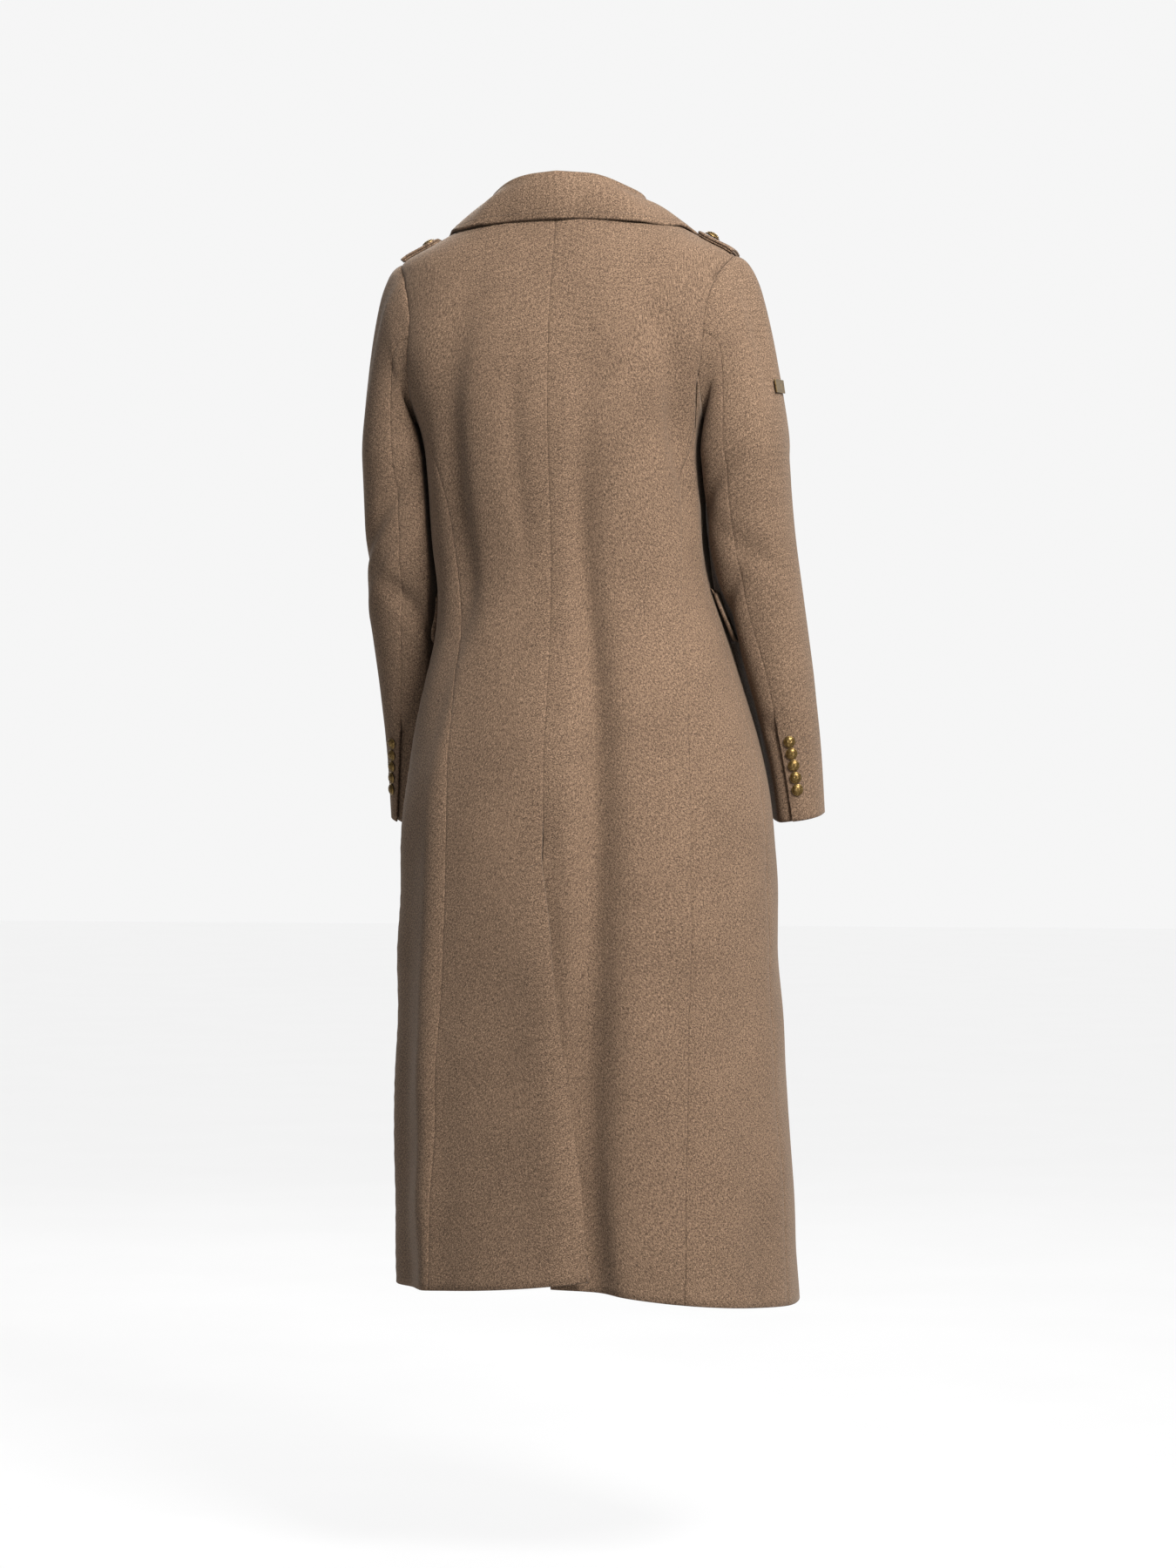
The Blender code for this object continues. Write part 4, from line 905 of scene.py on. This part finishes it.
# The outer edge in the front view, for the left lapel, from the break up to the peak
LapelEdge = namedtuple("LapelEdge", "way x z")
LAPEL_EDGE = (
    LapelEdge(0.00, -0.074, -0.361),
    LapelEdge(0.20, -0.012, -0.318),
    LapelEdge(0.45, 0.062, -0.250),
    LapelEdge(0.75, 0.126, -0.148),
    LapelEdge(1.00, 0.146, -0.078),
)
GORGE = -0.058  # height where the lapel's top edge leaves the break line
lapels = {}
for side in (LEFT, RIGHT):
    first = 0.52 if side == LEFT else 0.0  # below this the left lapel is under the right front
    way = np.linspace(first, 1, 81 if side == RIGHT else 45)[:, None]
    across = np.linspace(0, 1, 29)[None, :]
    fold_z = lerp(BREAK, GORGE, way)
    fold_x = break_line_at(fold_z)
    x = lerp(fold_x, curve(LAPEL_EDGE, "way", "x")(way), across)
    z = lerp(fold_z, curve(LAPEL_EDGE, "way", "z")(way), across)
    if side == LEFT:
        x = np.maximum(x, 0.006 - break_line_at(z))
    angle = angle_of(side * x, z, -1, side)
    low = LAY_GAP + 0.0035 * bell(x - fold_x, 0.016)
    name = "lapel_" + SIDE_NAMES[side]
    outer, inner = body(angle, z, low + EDGE_WALL), body(angle, z, low)
    cloth_piece(name + "_cloth", outer, inner, [name],
                ("start", "end", "bottom", "top"))
    lapels[side] = outer

# The collar: stand and fall cut in one, of two layers. It rolls over at the back of the neck
# and its broad fall lies on the shoulders, with a thick soft edge.

# Round the neck from the centre back: the roll's height over the seam, and the outer edge, on
# the body by angle and height
CollarStation = namedtuple("CollarStation", "way stand edge_angle edge_z bulge")
COLLAR = (
    CollarStation(0.00, 0.028, 0, -0.0200, 0.004),
    CollarStation(0.25, 0.025, 35, -0.0215, 0.005),
    CollarStation(0.50, 0.014, 66, -0.0260, 0.002),
    CollarStation(0.70, 0.009, 90, -0.0275, 0.002),
    CollarStation(0.86, 0.010, 112, -0.0450, 0.005),
    CollarStation(1.00, 0.009, 128, -0.0680, 0.003),
)
COLLAR_SIDE = 0.70  # way round at which the collar passes the side of the neck
COLLAR_END = -0.050  # height on the break line where it stops
COLLAR_ROLL = 0.0045


def neck_line(way):
    """Angle and height of the neck seam, from the centre back (0) to the collar's end (1)."""
    forward = np.clip((way - COLLAR_SIDE) / (1 - COLLAR_SIDE), 0, 1)
    z = lerp(NECK, COLLAR_END, forward)
    round_neck = np.clip(way / COLLAR_SIDE, 0, 1) * pi / 2
    down_front = angle_of(break_line_at(z), z, -1, LEFT)
    return np.where(way <= COLLAR_SIDE, round_neck, down_front), z


def collar_section(way, side):
    """Middle line of the collar's cloth in one section, from the neck seam to its edge."""
    angle, z = neck_line(np.array(abs(way)))
    seam = body_surface(angle, z)
    normal = body_normal(angle, z)
    near_angle, near_z = neck_line(np.array([abs(way) - 0.004, abs(way) + 0.004]).clip(0, 1))
    along = unit(np.diff(body_surface(near_angle, near_z), axis=0)[0])
    off_edge = unit(np.cross(along, normal))
    forward = float(ramp((abs(way) - COLLAR_SIDE + 0.06) / 0.08))
    up = unit(lerp(np.array([0, 0, 1.0]), normal, 0.8 * forward))
    base = seam + up * 0.0006 + off_edge * (WALL / 2 + 0.0008) * forward
    fields = ("stand", "edge_angle", "edge_z", "bulge")
    stand, edge_angle, edge_z, bulge = (float(curve(COLLAR, "way", name)(abs(way))) for name in fields)
    edge = body(radians(edge_angle), edge_z, LAY_GAP + EDGE_WALL / 2)
    towards = edge - base
    over = unit(towards - up * np.dot(towards, up))
    top = base + up * max(stand, COLLAR_ROLL + 0.003) + over * COLLAR_ROLL
    points = [base, lerp(base, top - up * COLLAR_ROLL - over * COLLAR_ROLL, 0.5)]
    for turn in (180, 135, 90, 45, 0):
        swing = over * cos(radians(turn)) + up * sin(radians(turn))
        points.append(top - up * COLLAR_ROLL + swing * COLLAR_ROLL)
    start = points[-1]
    fall_normal = unit(np.cross(np.cross(edge - start, up), edge - start) * -1)
    for share in (0.3, 0.55, 0.8, 1.0):
        points.append(lerp(start, edge, share) + fall_normal * -bulge * 4 * share * (1 - share))
    points = np.array(points)
    across = unit(np.cross(up, over))
    tangent = unit(np.gradient(points, axis=0))
    out = unit(np.cross(tangent, across))
    if np.dot(out[5], over) < 0:
        out = -out
    return points * np.array([side, 1, 1]), out * np.array([side, 1, 1])


def through(points, values, count):
    """Values given along a row of points, smoothly, at even shares of its length."""
    steps = np.concatenate(([0], np.cumsum(np.linalg.norm(np.diff(points, axis=0), axis=-1))))
    slopes = np.gradient(values, steps, axis=0)
    places = np.linspace(0, steps[-1], count)
    i = np.clip(np.searchsorted(steps, places) - 1, 0, len(steps) - 2)
    step = (steps[i + 1] - steps[i])[:, None]
    share = (places - steps[i])[:, None] / step
    return hermite(share, values[i], values[i + 1], step * slopes[i], step * slopes[i + 1])


COLLAR_STATIONS, COLLAR_POINTS = 241, 56
middle, outward = [], []
for way in np.linspace(-1, 1, COLLAR_STATIONS):
    line, facing_out = collar_section(way, LEFT if way >= 0 else RIGHT)
    middle.append(through(line, line, COLLAR_POINTS))
    outward.append(unit(through(line, facing_out, COLLAR_POINTS)))
middle, outward = np.array(middle), np.array(outward)
fall = ramp((np.linspace(0, 1, COLLAR_POINTS) - 0.25) / 0.4)
half = lerp(WALL, EDGE_WALL, fall)[None, :, None] / 2
way = np.linspace(-1, 1, COLLAR_STATIONS)[:, None]
wave = 0.0007 * np.sin(way * 17 + 0.6) + 0.0005 * np.sin(way * 31 + 2)
lift = (wave * fall[None, :])[..., None] * outward
collar_outer, collar_inner = middle + outward * half + lift, middle - outward * half + lift
cloth_piece("collar_cloth", collar_outer, collar_inner, ["collar"],
            ("top", "bottom", "end"))

# The stitching: thread sunk a little into the cloth, a double row round the straps, a single
# row along the collar, the lapels and the flaps, in a brown close to the cloth's.
THREAD_DARK, THREAD_LIGHT = (0.0385, 0.0245, 0.0154), (0.0715, 0.0455, 0.0286)
STITCH_PITCH, STITCH_LENGTH, THREAD_RADIUS = 0.0040, 0.0031, 0.00032
thread = Finish("thread", Roughness=0.8)
fine = {"Vector": thread.node("ShaderNodeTexCoord")[3], "Scale": 900}
spun = thread.node("ShaderNodeTexNoise", {}, fine)[0]
twist = {"stops": [(0.3, THREAD_DARK), (0.7, THREAD_LIGHT)]}
thread.set(Base_Color=thread.node("ShaderNodeValToRGB", twist, {0: spun})[0])


def stitches(points, normals, pitch=STITCH_PITCH, length=STITCH_LENGTH, radius=THREAD_RADIUS):
    """Corner points of each stitch of a row that follows the given points."""
    steps = np.concatenate(([0], np.cumsum(np.linalg.norm(np.diff(points, axis=0), axis=-1))))

    def at(place, values):
        return np.array([np.interp(place, steps, values[:, k]) for k in range(3)])

    made = []
    for place in np.arange(pitch / 2, steps[-1] - pitch / 2, pitch):
        first, last = at(place - length / 2, points), at(place + length / 2, points)
        up = unit(at(place, normals))
        side = np.cross(unit(last - first), up)
        rings = [lerp(first, last, share) + up * radius * 0.9 * cos(turn) + side * radius * sin(turn)
                 for share in (0.2, 0.8) for turn in (0.8, 2.3, 4.0, 5.5)]
        made.append([first - up * radius, *rings, last - up * radius])
    return made


def sew(name, made):
    """One piece of all the stitches given."""
    faces = []
    for i in range(len(made)):
        first = 10 * i
        for k in range(4):
            here, there = first + 1 + k, first + 1 + (k + 1) % 4
            faces += [(first, there, here), (here, there, there + 4, here + 4),
                      (first + 9, here + 4, there + 4)]
    add_piece(name, [tuple(point) for stitch in made for point in stitch], faces, thread.material)


def facing(outer):
    """The outward direction at each point of a panel's outer face, given its grid."""
    return unit(np.cross(np.gradient(outer, axis=0), np.gradient(outer, axis=1)))


def inside_edge(outer, side, off):
    """Points on a panel at a distance in from one of its edges, and the direction off the cloth."""
    grid = outer if side in ("start", "end") else outer.transpose(1, 0, 2)
    if side in ("end", "bottom"):
        grid = grid[:, ::-1]
    along = distance_along(grid)
    points, normals = (
        np.array([[np.interp(off, along[r], values[r, :, k]) for k in range(3)] for r in range(len(grid))])
        for values in (grid, facing(grid))
    )
    normals = unit(normals)
    if side in ("end", "top"):
        normals = -normals
    return points, normals


def outward_from(points, normals, centre):
    """The same directions, turned to point away from a centre where they point to it."""
    turned = np.sum((points - centre) * normals, axis=-1) < 0
    return np.where(turned[:, None], -normals, normals)


NECK_MIDDLE = np.array([0.0, 0.0, -0.16])
STITCHED_IN = 0.006  # from a piece's edge
points, normals = inside_edge(collar_outer, "end", 0.0065)
sew("collar_topstitching", stitches(points, outward_from(points, normals, NECK_MIDDLE)))
for side in (LEFT, RIGHT):
    rows_of_stitches = []
    for off in (0.0018, 0.0062):
        for edge in ("start", "end", "top"):
            points, normals = inside_edge(straps[side], edge, off)
            points, normals = points[2:-1], outward_from(points, normals, NECK_MIDDLE)[2:-1]
            rows_of_stitches += stitches(points, normals)
    for edge in ("start", "end", "bottom"):
        points, normals = inside_edge(flaps[side], edge, STITCHED_IN)
        rows_of_stitches += stitches(points, outward_from(points, normals, points * [0, 0, 1]))
    points, normals = inside_edge(lapels[side], "end", STITCHED_IN)
    rows_of_stitches += stitches(points[1:-1], outward_from(points, normals, points * [1, 0, 1])[1:-1])
    sew("edge_topstitching_" + SIDE_NAMES[side], rows_of_stitches)

# The vent's stop: a short slanting row of stitches that holds the underlap to the back.
height = np.linspace(VENT_TOP, VENT_TOP - 0.013, 12)
angle = angle_of(np.linspace(0.000, 0.030, 12), height, 1)
sew("vent_stop", stitches(body(angle, height, 0.0001), body_normal(angle, height), 0.0034, 0.0030))

# The buttonholes: a slit closed with dense stitches, one for each cuff button and the three
# working buttons of the front.
HOLE_RADIUS, HOLE_PITCH = 0.00035, 0.0008  # of the thread, and between stitches


def buttonhole(start, end, up):
    """Dense stitches across a slit, with its dark gap left in the middle."""
    along = unit(end - start)
    over = np.cross(along, up)
    made = []
    for off in np.arange(0, np.linalg.norm(end - start), HOLE_PITCH):
        for turn in (-1, 1):
            middle = start + along * off + over * turn * 0.0011
            line = np.array([middle - over * 0.0010, middle + over * 0.0010])
            made += stitches(line, np.array([up, up]), 0.0009, 0.0019, HOLE_RADIUS)[:1]
    return made


# The metal buttons: stamped brass, domed, antiqued dark in the hollows, with a rolled rim, a
# beaded ring and a plain rosette.
brass = Finish("antique_brass", Metallic=1.0)
place = brass.node("ShaderNodeTexCoord")[3]
tarnish = brass.node("ShaderNodeTexNoise", {}, {"Vector": place, "Scale": 420, "Detail": 3})[0]
wear = brass.node("ShaderNodeTexNoise", {}, {"Vector": place, "Scale": 1500, "Detail": 2})[0]
hollow = brass.node("ShaderNodeAmbientOcclusion", {"samples": 8}, {"Distance": 0.0012})[1]
tone = tarnish * 0.5 + hollow * 0.6
brass_stops = [(0.40, (0.022, 0.012, 0.004)), (0.80, (0.15, 0.095, 0.034)), (1.0, (0.34, 0.235, 0.10))]
brass.set(Base_Color=brass.node("ShaderNodeValToRGB", {"stops": brass_stops}, {0: tone})[0],
          Roughness=0.26 + tarnish * 0.22,
          Normal=brass.node("ShaderNodeBump", {}, {"Height": wear, "Strength": 0.25, "Distance": 0.0002})[0])


def picked():
    """The new primitive, with its place and turn taken up by its mesh."""
    made = bpy.context.object
    made.data.transform(made.matrix_world)
    made.matrix_world = Matrix.Identity(4)
    return made


def brass_button():
    """A button of radius 1 standing on the XY plane."""
    bpy.ops.object.select_all(action="DESELECT")
    bpy.ops.mesh.primitive_uv_sphere_add(segments=32, ring_count=18, radius=0.93)
    bpy.ops.object.mode_set(mode="EDIT")
    bpy.ops.transform.resize(value=(1, 1, 0.52))
    bpy.ops.mesh.bisect(plane_co=(0, 0, 0.02), plane_no=(0, 0, 1), clear_inner=True, use_fill=True)
    bpy.ops.object.mode_set(mode="OBJECT")
    shapes = [picked()]
    for major, minor, z in ((0.93, 0.075, 0.10), (0.60, 0.028, 0.405)):
        bpy.ops.mesh.primitive_torus_add(major_radius=major, minor_radius=minor, major_segments=32,
                                         minor_segments=8, location=(0, 0, z))
        shapes.append(picked())
    for i in range(24):
        turn = i * tau / 24
        spot = (0.745 * cos(turn), 0.745 * sin(turn), 0.315)
        bpy.ops.mesh.primitive_ico_sphere_add(subdivisions=1, radius=0.062, location=spot)
        shapes.append(picked())
    for i in range(8):
        turn = i * tau / 8
        spot = (0.27 * cos(turn), 0.27 * sin(turn), 0.455)
        bpy.ops.mesh.primitive_uv_sphere_add(segments=10, ring_count=6, radius=0.15, location=spot,
                                             rotation=(0, 0, turn), scale=(1.5, 0.62, 0.5))
        shapes.append(picked())
    bpy.ops.mesh.primitive_uv_sphere_add(segments=12, ring_count=8, radius=0.12, location=(0, 0, 0.49),
                                         scale=(1, 1, 0.7))
    shapes.append(picked())
    bpy.ops.object.select_all(action="DESELECT")
    for shape in shapes:
        shape.select_set(True)
    bpy.context.view_layer.objects.active = shapes[0]
    bpy.ops.object.join()
    made = bpy.context.object
    made.data.materials.clear()
    made.data.materials.append(brass.material)
    made.data.shade_smooth()
    made.name = "button_pattern"
    return made


pattern = brass_button()
BUTTON_SEAT = 0.0004


def set_button(node, diameter, point, normal):
    """A copy of the button, its foot on the cloth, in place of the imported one."""
    made = pattern.copy()
    made.data = pattern.data.copy()
    made.name = node + "_brass"
    bpy.context.scene.collection.objects.link(made)
    turn = Vector(normal).to_track_quat("Z", "Y").to_matrix().to_4x4()
    size = Matrix.Scale(diameter / 2, 4)
    made.data.transform(Matrix.Translation(Vector(point) + Vector(normal) * BUTTON_SEAT) @ turn @ size)
    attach(made, "root")
    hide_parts(node)


CUFF_BUTTON, CUFF_PITCH, CUFF_COUNT = 0.0132, 0.0138, 5
STRAP_BUTTON = 0.0180
FRONT_BUTTON = 0.0240
CUFF_BUTTON_TOP = 0.820  # share of the way down the sleeve
CUFF_BUTTON_ANGLE = 12  # degrees outward from the sleeve's back seam
FRONT_BUTTON_ROWS = (-0.385, -0.490, -0.595)
FRONT_BUTTON_SPREAD = 0.060
BREAK_LIFT = 0.0006  # the top pair sits just under the lapels' break
CUFF_RADIUS = 0.052
HOLE_REACH = 0.019  # how far the cuff's buttonholes go on from the button's middle
hole_turn = np.degrees(HOLE_REACH / CUFF_RADIUS)
for side in (LEFT, RIGHT):
    length = np.linalg.norm(sleeve(side, 0, 0.95) - sleeve(side, 0, 0.85)) / 0.10
    holes = []
    for i in range(CUFF_COUNT):
        share = CUFF_BUTTON_TOP + i * CUFF_PITCH / length
        point = sleeve(side, CUFF_BUTTON_ANGLE, share)
        normal = sleeve_normal(side, CUFF_BUTTON_ANGLE, share)
        set_button(f"cuff_button_{SIDE_NAMES[side]}_{i + 1}", CUFF_BUTTON, point, normal)
        far = sleeve(side, CUFF_BUTTON_ANGLE + hole_turn, share, 0.0002)
        near = sleeve(side, CUFF_BUTTON_ANGLE + 0.3 * hole_turn, share, 0.0002)
        holes += buttonhole(near, far, sleeve_normal(side, CUFF_BUTTON_ANGLE + 0.7 * hole_turn, share))
    sew("cuff_buttonholes_" + SIDE_NAMES[side], holes)

for side in (LEFT, RIGHT):
    x, y = STRAP_INNER + 0.012, 0.0
    z = roof(side * x, y)
    angle = np.arctan2(side * x - lean_at(z), y)
    seat = body(angle, z, LAY_GAP * 0.6 + STRAP_WALL)
    set_button("strap_button_" + SIDE_NAMES[side], STRAP_BUTTON, seat, body_normal(angle, z))

holes = []
for i, z in enumerate(FRONT_BUTTON_ROWS):
    for j, x in enumerate((-FRONT_BUTTON_SPREAD, FRONT_BUTTON_SPREAD)):
        angle = angle_of(lean_at(z) + x, z, -1, RIGHT)
        seat = body(angle, z, BREAK_LIFT if i == 0 else 0)
        set_button(f"front_button_{2 * i + j + 1}", FRONT_BUTTON, seat, body_normal(angle, z))
    near, far = (angle_of(lean_at(z) + FRONT_BUTTON_SPREAD + off, z, -1, LEFT) for off in (0.006, 0.016))
    holes += buttonhole(body(near, z, 0.0002), body(far, z, 0.0002), body_normal(far, z))
sew("front_buttonholes", holes)
bpy.data.objects.remove(pattern)

# The plate on the right upper sleeve: a small blank strip of brass with a raised edge, fixed
# flat on the cloth.
PLATE_WIDTH, PLATE_HEIGHT, PLATE_WALL = 0.030, 0.015, 0.0014
PLATE_ANGLE, PLATE_SHARE = 81, 0.155
point = sleeve(RIGHT, PLATE_ANGLE, PLATE_SHARE)
normal = sleeve_normal(RIGHT, PLATE_ANGLE, PLATE_SHARE)
down = unit(sleeve(RIGHT, PLATE_ANGLE, PLATE_SHARE + 0.02) - sleeve(RIGHT, PLATE_ANGLE, PLATE_SHARE - 0.02))
across = unit(np.cross(normal, down))
bpy.ops.object.select_all(action="DESELECT")
bpy.ops.mesh.primitive_cube_add(size=1)
plate = bpy.context.object
plate.data.transform(Matrix.Diagonal((PLATE_WIDTH, PLATE_HEIGHT, PLATE_WALL, 1)))
bpy.ops.object.mode_set(mode="EDIT")
bpy.ops.mesh.select_all(action="SELECT")
bpy.ops.mesh.bevel(offset=0.00045, segments=3)
bpy.ops.mesh.select_all(action="DESELECT")
bpy.ops.object.mode_set(mode="OBJECT")
for face in plate.data.polygons:
    face.select = face.normal.z > 0.99
bpy.ops.object.mode_set(mode="EDIT")
bpy.ops.mesh.inset(thickness=0.0010)
bpy.ops.mesh.inset(thickness=0.0003)
bpy.ops.transform.translate(value=(0, 0, -0.00035))
bpy.ops.object.mode_set(mode="OBJECT")
turn = Matrix((across, down, np.cross(across, down))).transposed().to_4x4()
plate.data.transform(Matrix.Translation(Vector(point + normal * (PLATE_WALL / 2 + BUTTON_SEAT))) @ turn)
plate.name = "sleeve_plate_brass"
plate.data.materials.append(brass.material)
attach(plate, "root")
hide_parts("sleeve_plate")

# The room: a pale floor that glows enough to meet the background, soft light from the upper
# right of the view, and the camera at the photograph's angle, level with the coat's middle.
FLOOR = -1.52
FLOOR_GLOW = (0.80, 0.80, 0.80, 1)
pale = Finish("studio_paper", Roughness=0.9)
mottle = {"Vector": pale.node("ShaderNodeTexCoord")[3], "Scale": 3}
grainy = pale.node("ShaderNodeTexNoise", {}, mottle)[0]
paper = {"stops": [(0.3, (0.045, 0.045, 0.045)), (0.7, (0.055, 0.055, 0.055))]}
pale.set(Emission_Strength=1.0, Emission_Color=FLOOR_GLOW,
         Base_Color=pale.node("ShaderNodeValToRGB", paper, {0: grainy})[0])
bpy.ops.object.select_all(action="DESELECT")
bpy.ops.mesh.primitive_plane_add(size=40, location=(0, 0, FLOOR))
floor = bpy.context.object
floor.data.materials.append(pale.material)

VIEW_TURN, VIEW_DISTANCE, VIEW_HEIGHT = radians(191), 4.5, -0.645
VIEW_SHIFT, VIEW_WIDTH, SENSOR = 0.0206, 1.3235, 36
towards = Vector((sin(VIEW_TURN), -cos(VIEW_TURN), 0))
image_right = Vector((cos(VIEW_TURN), sin(VIEW_TURN), 0))
aim = image_right * VIEW_SHIFT + Vector((0, 0, VIEW_HEIGHT))


def soft_light(name, right, near, up, size, power):
    """A square lamp at a place given from the camera's side, turned to the coat."""
    lamp = bpy.data.lights.new(name, "AREA")
    lamp.shape, lamp.size, lamp.energy = "SQUARE", size, power
    made = bpy.data.objects.new(name, lamp)
    bpy.context.scene.collection.objects.link(made)
    made.location = image_right * right + towards * near + Vector((0, 0, up))
    made.rotation_euler = (Vector((0, 0, -0.6)) - made.location).to_track_quat("-Z", "Y").to_euler()


soft_light("key", 1.45, 2.7, 1.7, 1.1, 400)
soft_light("top", 0.6, 0.2, 2.9, 1.6, 30)
soft_light("front", -0.6, -3.0, 1.2, 2.4, 90)
bpy.context.scene.view_settings.view_transform = "Standard"
world = bpy.data.worlds.new("studio")
bpy.context.scene.world = world
world.use_nodes = True

# The studio's walls are darker to the left of the photographer and behind them: full light
# below the first share of that direction, and the least light past the second.
room = world.node_tree
room.nodes["Background"].inputs["Color"].default_value = (1, 1, 1, 1)
shade = room.nodes.new("ShaderNodeVectorMath")
shade.operation = "DOT_PRODUCT"
shade.inputs[1].default_value = towards * 0.6 - image_right * 0.8
room.links.new(room.nodes.new("ShaderNodeTexCoord").outputs["Generated"], shade.inputs[0])
walls = room.nodes.new("ShaderNodeMapRange")
room.links.new(shade.outputs["Value"], walls.inputs["Value"])
for name, value in (("From Min", -0.3), ("From Max", 0.5), ("To Min", 0.92), ("To Max", 0.22)):
    walls.inputs[name].default_value = value
room.links.new(walls.outputs["Result"], room.nodes["Background"].inputs["Strength"])

lens = bpy.data.cameras.new("camera")
lens.sensor_fit, lens.sensor_width = "HORIZONTAL", SENSOR
lens.lens = SENSOR * VIEW_DISTANCE / VIEW_WIDTH
camera = bpy.data.objects.new("camera", lens)
bpy.context.scene.collection.objects.link(camera)
camera.location = aim + towards * VIEW_DISTANCE
camera.rotation_euler = (-towards).to_track_quat("-Z", "Y").to_euler()
bpy.context.scene.camera = camera
